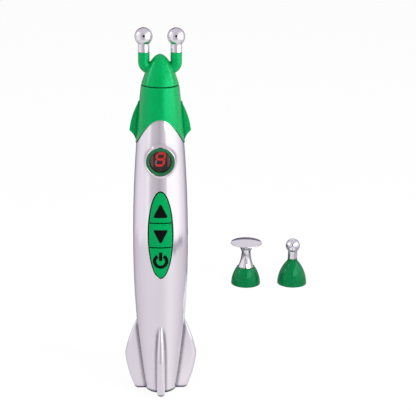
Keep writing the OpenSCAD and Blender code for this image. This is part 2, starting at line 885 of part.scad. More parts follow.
// One inlaid mark, whose face follows the button's dome
module button_mark(mark_z) {
    low = mark_z - mark_size;
    top = mark_z + mark_size;
    color(black) intersection() {
        mark_slab(mark_z, over) children();
        rotate_extrude($fn = 240)
            polygon([[0, low], [body_r(low) + button_proud, low], [body_r(top) + button_proud, top], [0, top]]);
    }
}

// Solid button without its mark's pocket
module cap_block(low, top, switch_z) {
    union() {
        intersection() {
            facing_front(pad_z) translate([0, 0, cap_back]) linear_extrude(span)
                button_outline(low, top, -button_gap);
            body_block(button_proud);
        }
        intersection() {
            facing_front(pad_z) translate([0, 0, cap_back]) linear_extrude(cap_flange)
                button_outline(low, top, 0.65);
            body_block(-wall - 0.15);
        }
        facing_front(switch_z) translate([0, 0, plunger_tip])
            cylinder(r = 1.5, h = cap_back - plunger_tip + 0.2, $fn = 32);
    }
}

module up_button() {
    button_cap(upper_split_z + button_gap / 2, pad_z + pad_len, up_z, up_mark_z) triangle_mark(mark_gap);
}

module down_button() {
    button_cap(lower_split_z + button_gap / 2, upper_split_z - button_gap / 2, down_z, down_mark_z)
        mirror([0, 1, 0]) triangle_mark(mark_gap);
}

module power_button() {
    button_cap(pad_z - pad_len, lower_split_z - button_gap / 2, power_z, power_mark_z) power_sign(mark_gap);
}

module up_mark() {
    button_mark(up_mark_z) triangle_mark(0);
}

module down_mark() {
    button_mark(down_mark_z) mirror([0, 1, 0]) triangle_mark(0);
}

module power_mark() {
    button_mark(power_mark_z) power_sign(0);
}

plunger_r = 1.7;
plunger_depth = 1.4;

// Body of one push switch on the board, with the bore of its plunger
module switch_body(z) {
    color("#3A3D42") facing_front(z) difference() {
        translate([-switch_w / 2, -switch_w / 2, board_front]) cube([switch_w, switch_w, switch_h]);
        translate([0, 0, switch_top - plunger_depth - button_travel - 0.1])
            cylinder(r = plunger_r + fit_gap, h = span, $fn = 48);
    }
}

// Plunger of one push switch
module switch_plunger(z) {
    color("#C9302C") facing_front(z) translate([0, 0, switch_top - plunger_depth])
        cylinder(r = plunger_r, h = plunger_depth + plunger_reach, $fn = 48);
}

module up_switch() {
    switch_body(up_z);
}

module down_switch() {
    switch_body(down_z);
}

module power_switch() {
    switch_body(power_z);
}

module up_plunger() {
    switch_plunger(up_z);
}

module down_plunger() {
    switch_plunger(down_z);
}

module power_plunger() {
    switch_plunger(power_z);
}

// Control chip on the board's front, with its row of legs on each side
module microcontroller() {
    chip_z = board_low_z + chip_rise;
    color(black) facing_front(chip_z) {
        translate([-2, -3, board_front + 0.2]) cube([4, 6, 1.4]);
        for (side = [-1, 1], i = [0:3])
            translate([side * 2.4 - 0.5, -2.45 + 1.4 * i, board_front]) cube([1, 0.5, 0.6]);
    }
}

// Transformer on the board's back: a core around a wound bobbin
module step_up_transformer() {
    core_z = board_screw_z + 4;
    depth = 7.4;
    color("#4A4036") translate([0, -board_back, core_z]) {
        difference() {
            translate([-5, 0, 0]) cube([10, depth, 9]);
            translate([-3.6, -over, 1.4]) cube([7.2, depth + 2 * over, 6.2]);
        }
        translate([0, 0.6, 4.5]) rotate([-90, 0, 0]) cylinder(r = 3.1, h = depth - 1.2, $fn = 64);
        translate([-4, 0.8, 3.9]) cube([8, depth - 1.6, 1.2]);
    }
}

// Upright capacitor on the board's back
module storage_capacitor() {
    color("#23335A") translate([3, -board_back, board_screw_z - 8]) rotate([-90, 0, 0]) {
        cylinder(r = 2.5, h = 6.4, $fn = 64);
    }
}

// Small chip resistors on the board's back
module chip_resistors() {
    color("#2A2A2A") for (i = [0:3])
        translate([-5.5, -board_back, board_screw_z - 16 + 1.6 * i]) cube([2, 0.6, 0.9]);
}

// Round buzzer on the board's back
module buzzer() {
    color(black) translate([0, -board_back, buzzer_z]) rotate([-90, 0, 0]) {
        difference() {
            cylinder(r = 3, h = 3, $fn = 64);
            translate([0, 0, 2]) cylinder(r = 0.6, h = 2, $fn = 32);
        }
    }
}

// Round cell with its nub at the top
module battery_cell() {
    nub_h = 1;
    color("#5A6068") translate([0, cell_y, cell_z]) rotate_extrude()
        polygon([[0, 0], [cell_r - 0.6, 0], [cell_r, 0.6], [cell_r, cell_len - nub_h - 0.6],
            [cell_r - 0.6, cell_len - nub_h], [2.7, cell_len - nub_h], [2.7, cell_len], [0, cell_len]]);
}

// Trough that holds the cell, with an end wall at each contact and ears at the parting plane
module battery_cradle() {
    length = cradle_top_z - cradle_low_z;
    ear_x = body_r(cell_z) - wall - move_gap;
    color("#33363B") difference() {
        union() {
            intersection() {
                translate([0, cell_y, cradle_low_z]) cylinder(r = cradle_r, h = length);
                translate([-span, cell_y - 2 * span, 0]) cube([2 * span, 2 * span, seam_z]);
            }
            for (z = [cradle_low_z, cradle_top_z - end_wall]) intersection() {
                translate([0, cell_y, z]) cylinder(r = cradle_r, h = end_wall);
                translate([0, 0, z]) cylinder(r = body_r(cradle_low_z) - wall - move_gap, h = end_wall);
                translate([-span, cell_y + 3.6 - 2 * span, 0]) cube([2 * span, 2 * span, seam_z]);
            }
            for (z = [cell_z + 3, cell_z + cell_len - 8])
                translate([-ear_x, 0.4, z]) cube([2 * ear_x, 1.6, 4]);
        }
        translate([0, cell_y, cradle_low_z + end_wall])
            cylinder(r = cell_r + cell_gap, h = length - 2 * end_wall);
        translate([-1.3, tab_y - 0.2, cradle_low_z - over]) cube([2.6, 0.9, length + 2 * over]);
    }
}

// Coil of the negative contact, wound as a cone on its plate
module battery_spring() {
    coil_wire_r = 0.35;
    plate_t = 0.4;
    turns = 3.5;
    steps = 8;
    sides = 6;
    low = cradle_low_z + end_wall + plate_t + coil_wire_r / 2;
    rise = cell_z - coil_wire_r - 0.1 - low;
    count = turns * steps;
    color("#B9BCC2") {
        translate([0, cell_y, cradle_low_z + end_wall]) cylinder(r = 5, h = plate_t);
        translate([-1, tab_y, cradle_low_z - 2.6]) cube([2, 0.4, end_wall + plate_t + 2.6]);
        skin([for (i = [0:count])
            let (
                turn = 360 * i / steps,
                radius = 4.2 - 1.6 * i / count,
                spot = [radius * cos(turn), cell_y + radius * sin(turn), low + rise * i / count],
                out = [cos(turn), sin(turn), 0])
            [for (k = [0:sides - 1])
                spot + coil_wire_r * (out * cos(360 * k / sides) - [0, 0, 1] * sin(360 * k / sides))]]);
    }
}

// Positive contact plate with a dimple for the nub
module battery_plate() {
    plate_t = 0.5;
    color(brass) {
        translate([0, cell_y, cradle_top_z - end_wall - plate_t]) cylinder(r = 4.6, h = plate_t);
        translate([0, cell_y, cell_z + cell_len + 0.05])
            cylinder(r = 2, h = cradle_top_z - end_wall - cell_z - cell_len - 0.05, $fn = 48);
        translate([-1, tab_y, cradle_top_z - end_wall - plate_t]) cube([2, 0.4, end_wall + plate_t + 1.8]);
    }
}

// One case screw, with its head towards the rear and a cross recess
module case_screw(x, z, seat) {
    head_h = 1.5;
    facing_rear(z) translate([x, 0, 0]) difference() {
        union() {
            translate([0, 0, -5.4]) cylinder(r = screw_r, h = 5.4 + seat + 0.1, $fn = 32);
            translate([0, 0, seat]) cylinder(r = screw_head_r, h = head_h, $fn = 48);
        }
        for (turn = [0, 90]) rotate([0, 0, turn])
            translate([-1.2, -0.25, seat + head_h - 0.7]) cube([2.4, 0.5, over]);
    }
}

module case_screws() {
    color("#9A9DA3") for (side = [-1, 1]) {
        case_screw(side * upper_screw_x, upper_screw_z, upper_seat);
        case_screw(side * lower_screw_x, lower_screw_z, lower_seat);
    }
}

// Screws that hold the board to the front shell
module board_screws() {
    head_h = 1.1;
    color("#9A9DA3") for (side = [-1, 1])
        facing_front(board_screw_z) translate([side * board_screw_x, 0, 0]) {
            translate([0, 0, board_back - 0.1]) cylinder(r = board_screw_r, h = board_t + 3.6, $fn = 32);
            translate([0, 0, board_back - head_h]) cylinder(r = 1.8, h = head_h, $fn = 48);
        }
}

module positive_wire() {
    color("red") wire(smooth_path(positive_route, 3), wire_r, 8);
}

module negative_wire() {
    color(black) wire(smooth_path(negative_route, 3), wire_r, 8);
}

module electrode_lead() {
    color("#D9C24A") wire(smooth_path(lead_route, 3), wire_r, 8);
}

// Springy strip from the board to the plated shell, which carries the return current
module return_contact() {
    strip_h = 3;
    strip_z = buzzer_z - strip_h / 2;
    tip_x = sqrt(pow(body_r(strip_z + strip_h) - wall - 0.15, 2) - pow(board_back, 2));
    color(brass) {
        translate([-tip_x, -board_back, strip_z]) cube([tip_x - 4, 0.4, strip_h]);
    }
}

// Radius of the nose at a height above the seam: a paraboloid
function nose_at(h) = nose_r * sqrt(max(0, 1 - h / nose_h));

// One bent arm of the twin head, on the +X side
module head_arm() {
    translate([0, 0, elbow_h]) {
        translate([arm_x, 0, 0]) cylinder(r = arm_r, h = neck_low_h - elbow_h, $fn = 64);
        translate([arm_x - elbow_r, 0, 0]) rotate([90, 0, 0]) rotate([0, 0, -90])
            rotate_extrude(angle = 90, $fn = 64) translate([elbow_r, 0]) circle(arm_r, $fn = 64);
        translate([0, 0, -elbow_r]) rotate([0, 90, 0]) cylinder(r = arm_r, h = arm_x - elbow_r, $fn = 64);
    }
}

// Empty space inside any head: the socket and the pocket of the brass sleeve
module head_socket() {
    translate([0, 0, -over]) cylinder(r = seat_r + run_gap, h = socket_h + over);
    translate([0, 0, socket_h - over]) cylinder(r = sleeve_r + run_gap, h = sleeve_low + sleeve_h + run_gap - socket_h + over, $fn = 64);
}

// Brass sleeve that grips the contact stud, up to a height above the head's foot
module head_sleeve(top) {
    translate([0, 0, sleeve_low]) difference() {
        cylinder(r = sleeve_r, h = top - sleeve_low, $fn = 64);
        translate([0, 0, -over])
            cylinder(r = stud_r + run_gap, h = top - sleeve_low - sleeve_roof + over, $fn = 48);
    }
}

// Green twin head: paraboloid nose with two bent arms
module twin_head() {
    steps = 16;
    color(green) translate([0, 0, seam_z]) difference() {
        union() {
            rotate_extrude()
                polygon(concat(
                    [[0, 0], [nose_r - 0.3, 0], [nose_at(0.4), 0.4]],
                    [for (i = [1:steps])
                        let (r = nose_at(0.4) * (1 - i / steps))
                        [r, nose_h * (1 - pow(r / nose_r, 2))]]));
            head_arm();
            mirror([1, 0, 0]) head_arm();
        }
        head_socket();
        translate([-arm_x - pin_r - fit_gap, -strip_w / 2 - run_gap, sleeve_low - run_gap])
            cube([2 * (arm_x + pin_r + fit_gap), strip_w + 2 * run_gap, strip_t + run_gap]);
        for (side = [-1, 1])
            translate([side * arm_x, 0, sleeve_low]) cylinder(r = pin_r + run_gap, h = span, $fn = 48);
    }
}

// One chrome electrode: ball, neck and the pin inside the arm
module twin_electrode(side) {
    color(silver) translate([side * arm_x, 0, seam_z]) {
        translate([0, 0, pin_end_h]) cylinder(r = pin_r, h = neck_low_h - pin_end_h + 0.5, $fn = 48);
        translate([0, 0, neck_low_h]) cylinder(r = neck_r, h = ball_h - neck_low_h, $fn = 64);
        translate([0, 0, ball_h]) sphere(ball_r);
    }
}

module twin_left_electrode() {
    twin_electrode(-1);
}

module twin_right_electrode() {
    twin_electrode(1);
}

// Brass strip under both electrode pins, with the sleeve in its middle
module twin_bridge() {
    color(brass) translate([0, 0, seam_z]) difference() {
        union() {
            translate([0, 0, sleeve_low]) cylinder(r = sleeve_r, h = sleeve_h, $fn = 64);
            translate([-arm_x - pin_r, -strip_w / 2, sleeve_low])
                cube([2 * (arm_x + pin_r), strip_w, strip_t]);
        }
        translate([0, 0, sleeve_low - over])
            cylinder(r = stud_r + run_gap, h = sleeve_h - sleeve_roof + over, $fn = 48);
    }
}

// Green base of the spare disc head
module disc_head_base() {
    color(green) translate([disc_place_x, spare_y, 0]) difference() {
        rotate_extrude()
            polygon(concat(
                [[0, 0], [spare_r - 0.3, 0]],
                bow([spare_r, 0.3], [6, disc_base_h], 0.85, 10),
                [[0, disc_base_h]]));
        head_socket();
        translate([0, 0, socket_h]) cylinder(r = sleeve_r + run_gap, h = disc_base_h, $fn = 64);
    }
}

// Flared disc electrode on its base
module disc_electrode() {
    waist_r = 3.1;
    waist_h = disc_base_h + 10;
    foot_r = 5.5;
    dome_h = 2;
    color(silver) translate([disc_place_x, spare_y, 0]) difference() {
        rotate_extrude()
            polygon(concat(
                [[0, disc_base_h]],
                bow([foot_r, disc_base_h], [waist_r, waist_h], -0.45, 8),
                bow([waist_r, waist_h + 0.5], [disc_r, disc_rim_h - 0.4], -1.9, 12),
                bow([disc_r, disc_rim_h + 0.1], [0, disc_rim_h + dome_h], 0.25, 10)));
        translate([0, 0, disc_base_h - over])
            cylinder(r = sleeve_r + run_gap, h = disc_sleeve_top + fit_gap - disc_base_h + over, $fn = 64);
    }
}

module disc_head_sleeve() {
    color(brass) translate([disc_place_x, spare_y, 0]) head_sleeve(disc_sleeve_top);
}

// Green base of the spare ball head, with a small ring at its top
module ball_head_base() {
    ring_h = 1.8;
    color(green) translate([ball_place_x, spare_y, 0]) difference() {
        rotate_extrude()
            polygon(concat(
                [[0, 0], [spare_r - 0.2, 0]],
                bow([spare_r + 0.1, 0.3], [3.55, ball_base_h - ring_h], 1.5, 12),
                [[3.35, ball_base_h - ring_h], [3.35, ball_base_h], [0, ball_base_h]]));
        head_socket();
        translate([0, 0, socket_h]) cylinder(r = sleeve_r + run_gap, h = span, $fn = 64);
    }
}

// Ball electrode on its neck, with a spigot down to the sleeve
module ball_electrode() {
    color(silver) translate([ball_place_x, spare_y, 0]) {
        translate([0, 0, sleeve_low + sleeve_h])
            cylinder(r = sleeve_r, h = ball_base_h - sleeve_low - sleeve_h + 0.5, $fn = 64);
        translate([0, 0, ball_base_h]) cylinder(r = 3.2, h = spare_ball_h - ball_base_h, $fn = 64);
        translate([0, 0, spare_ball_h]) sphere(spare_ball_r);
    }
}

module ball_head_sleeve() {
    color(brass) translate([ball_place_x, spare_y, 0]) head_sleeve(sleeve_low + sleeve_h);
}

front_shell();
rear_shell();
nose_collar();
head_seat();
contact_stud();
window_ring();
window_lens();
display_module();
lit_segments();
dim_segment();
circuit_board();
up_button();
down_button();
power_button();
up_mark();
down_mark();
power_mark();
up_switch();
down_switch();
power_switch();
up_plunger();
down_plunger();
power_plunger();
microcontroller();
step_up_transformer();
storage_capacitor();
chip_resistors();
buzzer();
battery_cell();
battery_cradle();
battery_spring();
battery_plate();
battery_door();
case_screws();
board_screws();
positive_wire();
negative_wire();
electrode_lead();
return_contact();
twin_head();
twin_left_electrode();
twin_right_electrode();
twin_bridge();
disc_head_base();
disc_electrode();
disc_head_sleeve();
ball_head_base();
ball_electrode();
ball_head_sleeve();
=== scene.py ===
"""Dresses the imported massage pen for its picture: plated case, green mouldings, chrome ends."""

import logging
import math
from dataclasses import dataclass
from enum import Enum, auto
from typing import Callable, Iterator, Optional, Sequence

import bmesh
import bpy
from mathutils import Matrix, Vector

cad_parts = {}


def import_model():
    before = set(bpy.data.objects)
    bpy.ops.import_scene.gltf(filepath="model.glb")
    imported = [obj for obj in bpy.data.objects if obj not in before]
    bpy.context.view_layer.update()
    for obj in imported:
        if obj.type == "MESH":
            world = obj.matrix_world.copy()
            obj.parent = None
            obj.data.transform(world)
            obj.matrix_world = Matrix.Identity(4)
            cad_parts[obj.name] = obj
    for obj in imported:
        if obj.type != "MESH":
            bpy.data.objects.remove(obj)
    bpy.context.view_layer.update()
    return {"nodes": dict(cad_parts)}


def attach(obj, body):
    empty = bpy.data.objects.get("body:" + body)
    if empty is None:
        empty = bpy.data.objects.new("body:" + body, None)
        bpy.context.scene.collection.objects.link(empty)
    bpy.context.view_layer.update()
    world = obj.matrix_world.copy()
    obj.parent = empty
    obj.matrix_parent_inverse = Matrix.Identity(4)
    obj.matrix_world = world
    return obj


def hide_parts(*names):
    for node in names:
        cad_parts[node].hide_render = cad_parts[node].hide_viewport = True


LOG = logging.getLogger("massage_pen")
MM = 0.001
SIGNS = (-1, 1)
Point2 = tuple[float, float]
Point3 = tuple[float, float, float]
Ring = list[Point3]
Mesh = bmesh.types.BMesh
Socket = bpy.types.NodeSocket
Truth = Callable[[Vector], Optional[Vector]]


class Side(Enum):
    """Side of the pen that a piece faces, as the sign of Y."""

    FRONT = -1
    REAR = 1


class Cut(Enum):
    """How one solid is combined with another."""

    JOIN = "UNION"
    TAKE = "DIFFERENCE"
    KEEP = "INTERSECT"


# Sizes of the pen


@dataclass(frozen=True)
class PenForm:
    """Sizes in millimetres that several pieces share."""

    belly_r: float = 15.0
    belly_z: float = 86.0
    upper_bow: float = 756.0
    lower_bow: float = 575.0
    wall: float = 2.0
    foot_round: float = 0.8
    seam_z: float = 175.3
    shell_top: float = 173.55
    collar_low: float = 138.0
    arch_top: float = 158.2
    arch_spread: float = 11.6
    window_z: float = 136.3
    window_face: float = 14.33
    window_seat: float = 12.23
    pad_z: float = 95.7
    pad_half_w: float = 6.75
    pad_half_h: float = 24.4
    door_low: float = 44.5
    door_high: float = 107.4
    door_half_w: float = 8.2
    door_corner: float = 2.5
    socket_r: float = 5.55
    socket_h: float = 8.0
    sleeve_r: float = 2.45
    on_face: float = 0.02

    def bow(self, z: float) -> float:
        """Radius of the long bow that the outline follows at height z."""
        return self.upper_bow if z > self.belly_z else self.lower_bow

    def body_r(self, z: float) -> float:
        """Radius of the bowed body at height z."""
        return self.belly_r - (z - self.belly_z) ** 2 / (2 * self.bow(z))

    def depth(self, x: float, z: float, proud: float = 0.0) -> float:
        """Distance of the body's face from the plane of the axis, x beside it and at height z."""
        return math.sqrt(max((self.body_r(z) + proud) ** 2 - x * x, 0.0))

    def arch_z(self, x: float, drop: float = 0.0) -> float:
        """Height of the collar's arch, or of a line under it, x beside the axis."""
        return self.arch_top - drop - x * x / self.arch_spread

    def line(self, low: float, high: float, inset: float, steps: int) -> list[Point2]:
        """Points of the bowed outline between two heights, moved inwards."""
        heights = [low + (high - low) * i / steps for i in range(steps + 1)]
        return [(self.body_r(z) - inset, z) for z in heights]

    def truth(self, proud: float = 0.0) -> Truth:
        """Makes the test that gives the exact normal of points on the bowed body.

        Args:
            proud: How far the tested face stands over the body.

        Returns:
            A function of a point, which gives None for points that lie elsewhere.
        """
        def normal(point: Vector) -> Optional[Vector]:
            """Exact normal at a point, or None.

            Args:
                point: The point.

            Returns:
                The normal, or None where the point lies elsewhere.
            """
            radius = math.hypot(point.x, point.y)
            off = abs(radius - self.body_r(point.z) - proud)
            if point.z < self.foot_round + 0.3 or off > self.on_face:
                return None
            rise = (point.z - self.belly_z) / self.bow(point.z)
            return Vector((point.x / radius, point.y / radius, rise)).normalized()
        return normal


PEN = PenForm()


# Colours and materials


def linear(hex_colour: str) -> tuple[float, float, float, float]:
    """Turns an sRGB hex colour such as "#0BA35A" into linear values.

    Args:
        hex_colour: The colour.

    Returns:
        Red, green, blue and an alpha of 1.
    """
    parts = [int(hex_colour[i:i + 2], 16) / 255 for i in (1, 3, 5)]
    flat = [c / 12.92 if c <= 0.04045 else ((c + 0.055) / 1.055) ** 2.4 for c in parts]
    return (flat[0], flat[1], flat[2], 1.0)


def per_mm(size: float) -> float:
    """Scale of a pattern on Object coordinates whose cells are that many millimetres wide."""
    return 1.0 / (size * MM)


class Net:
    """A cleared node tree, with short calls for the nodes that are used more than once."""

    def __init__(self, owner: bpy.types.Material | bpy.types.World) -> None:
        """Turns the nodes of a material or a world on and clears them.

        Args:
            owner: The material or the world.
        """
        owner.use_nodes = True
        self.tree = owner.node_tree
        self.tree.nodes.clear()

    def add(self, kind: str, inputs: Optional[dict] = None, **settings: object) -> bpy.types.Node:
        """Adds a node.

        Args:
            kind: Type name without its "ShaderNode".
            inputs: What inputs get, by name or index: a socket, a value or a hex colour.
            settings: Attributes of the node.

        Returns:
            The new node.
        """
        node = self.tree.nodes.new("ShaderNode" + kind)
        for key, value in settings.items():
            setattr(node, key, value)
        for key, value in (inputs or {}).items():
            if isinstance(value, Socket):
                self.tree.links.new(value, node.inputs[key])
            else:
                node.inputs[key].default_value = linear(value) if isinstance(value, str) else value
        return node

    def place(self) -> Socket:
        """Object coordinates, which all patterns read."""
        return self.add("TexCoord").outputs["Object"]

    def calc(self, how: str, *values: Socket | float) -> Socket:
        """A calculation on one to three values."""
        return self.add("Math", dict(enumerate(values)), operation=how).outputs[0]

    def remap(self, value: Socket, low: float, high: float, first: float = 0.0,
              last: float = 1.0) -> Socket:
        """A clamped change of range, from low and high to first and last."""
        return self.add("MapRange", {0: value, 1: low, 2: high, 3: first, 4: last}).outputs[0]

    def mix(self, share: Socket, first: Socket | str, second: Socket | str) -> Socket:
        """A mix of two colours."""
        return self.add("Mix", {0: share, 6: first, 7: second}, data_type="RGBA").outputs[2]

    def noise(self, place: Socket, size: float, detail: float = 2.0) -> Socket:
        """Noise whose cells are that many millimetres wide."""
        node = self.add("TexNoise", {"Vector": place, "Scale": per_mm(size), "Detail": detail})
        return node.outputs["Fac"]

    def either(self, share: Socket | float, first: Socket, second: Socket) -> Socket:
        """A mix of two shaders."""
        return self.add("MixShader", {0: share, 1: first, 2: second}).outputs[0]

    def shine(self, kind: str, tone: Socket | str, strength: float) -> Socket:
        """An emission or a background of one tone."""
        return self.add(kind, {"Color": tone, "Strength": strength}).outputs[0]


@dataclass(frozen=True)
class Finish:
    """A moulded or plated surface with fine variation of tone, gloss and relief.

    Sizes are millimetres. The corner tone is painted shade in the inner corners, found by ambient
    occlusion, and the crevice tone is darker painted shade where they are deepest; the corner tone gives
    way to the high corner tone, painted shade in a reflected tint, and weakens above its top height.
    """

    name: str
    slot: str
    tones: tuple[str, str]
    rough: Point2
    grain: float = 0.4
    cloud: float = 9.0
    relief: float = 0.004
    metallic: float = 0.0
    ior: float = 1.5
    specular: float = 0.5
    tint: str = "#FFFFFF"
    # Painted shade: tones, reach and fade of the darkening in inner corners and crevices
    corner: str = ""
    corner_shade_mm: float = 1.6
    corner_shade_top: float = 1000.0
    corner_high_shade: str = "#6F6A80"
    corner_shade_fade: float = 6.0
    corner_shade_left: float = 0.35
    corner_shade_open: Point2 = (0.97, 0.68)
    crevice_shade: str = "#141415"
    crevice_shade_open: Point2 = (0.4, 0.2)

    def build(self) -> bpy.types.Material:
        """Makes the material, or gives it back if it is there already.

        Returns:
            The material.
        """
        known = bpy.data.materials.get(self.name)
        if known:
            return known
        material = bpy.data.materials.new(self.name)
        net = Net(material)
        place = net.place()
        fine = net.noise(place, self.grain, 4.0)
        tone = self.pattern(net, place, net.mix(net.noise(place, self.cloud, 3.0), *self.tones))
        bump = net.add("Bump", {"Distance": self.relief * MM, "Strength": 0.6, "Height": fine})
        shader = net.add("BsdfPrincipled", {
            **self.inputs(self.shaded(net, place, tone)), "Normal": bump.outputs[0],
            "Roughness": net.remap(fine, 0.0, 1.0, *self.rough)})
        net.add("OutputMaterial", {0: shader.outputs[0]})
        return material

    def inputs(self, tone: Socket) -> dict[str, object]:
        """Collects the inputs of the shader.

        Args:
            tone: The finished colour.

        Returns:
            The inputs by name.
        """
        wanted = {"Base Color": tone, "Metallic": self.metallic, "Specular Tint": self.tint,
                  "Specular IOR Level": self.specular}
        return wanted if self.metallic else {**wanted, "IOR": self.ior}

    def pattern(self, net: Net, place: Socket, tone: Socket) -> Socket:
        """Lays a pattern over the tone; a plain finish has none."""
        return tone

    def shaded(self, net: Net, place: Socket, tone: Socket) -> Socket:
        """Dulls the inner corners, where plating is thin and polish doesn't reach.

        Args:
            net: Node tree of the material.
            place: Object coordinates.
            tone: Colour of the open surface.

        Returns:
            The colour with its painted corner shade.
        """
        if not self.corner:
            return tone
        # Ambient occlusion finds the corners that get painted shade
        near = net.add("AmbientOcclusion", {"Distance": self.corner_shade_mm * MM}, samples=8).outputs["AO"]
        height = net.add("SeparateXYZ", {0: place}).outputs["Z"]
        share = net.remap(height, self.corner_shade_top * MM, (self.corner_shade_top + self.corner_shade_fade) * MM,
                          1.0, self.corner_shade_left)
        deep = net.calc("MULTIPLY", net.remap(near, *self.corner_shade_open), share)
        corner_shaded = net.mix(deep, tone, net.mix(share, self.corner_high_shade, self.corner))
        # Darkest painted shade in the deepest crevices
        return net.mix(net.remap(near, *self.crevice_shade_open), corner_shaded, self.crevice_shade)


@dataclass(frozen=True)
class Banded(Finish):
    """A finish with bands across one axis, such as windings or a jacket's print."""

    band: str = "#B07A3A"
    band_mm: float = 0.6
    axis: str = "Z"
    share: float = 0.5
    soft: float = 0.05
    wave_turn: float = 6.283

    def pattern(self, net: Net, place: Socket, tone: Socket) -> Socket:
        """Lays the bands over the tone.

        Args:
            net: Node tree of the material.
            place: Object coordinates.
            tone: Colour under it.

        Returns:
            The colour with its pattern.
        """
        scale = per_mm(self.band_mm) / self.wave_turn
        wave = net.add("TexWave", {"Vector": place, "Scale": scale, "Distortion": 0.15},
                       bands_direction=self.axis)
        mask = net.remap(wave.outputs["Fac"], self.share - self.soft, self.share + self.soft)
        return net.mix(mask, tone, self.band)


@dataclass(frozen=True)
class Tracked(Finish):
    """Solder mask over copper tracks, which show as paler lines."""

    track: str = "#2F7A4E"
    pitch: float = 7.6

    def pattern(self, net: Net, place: Socket, tone: Socket) -> Socket:
        """Lays the tracks over the solder mask.

        Args:
            net: Node tree of the material.
            place: Object coordinates.
            tone: Colour under it.

        Returns:
            The colour with its pattern.
        """
        upright = net.add("Mapping", {"Vector": place, "Rotation": (math.pi / 2, 0.0, 0.0)})
        return net.add("TexBrick", {
            "Vector": upright.outputs[0], "Color1": tone, "Color2": tone, "Mortar": self.track,
            "Scale": per_mm(self.pitch), "Mortar Size": 0.035, "Brick Width": 0.9,
            "Row Height": 0.22}).outputs["Color"]


@dataclass(frozen=True)
class TintedGlass(Finish):
    """Clear moulded plastic with a smoke tint."""

    def inputs(self, tone: Socket) -> dict[str, object]:
        """Lets the light through as well."""
        return {**super().inputs(tone), "Transmission Weight": 1.0}


@dataclass(frozen=True)
class LitBar(Finish):
    """Light bar behind a diffuser, which glows in its own tone."""

    glow: float = 1.0

    def inputs(self, tone: Socket) -> dict[str, object]:
        """Gives the tone to the glow as well."""
        return {**super().inputs(tone), "Emission Color": tone, "Emission Strength": self.glow}


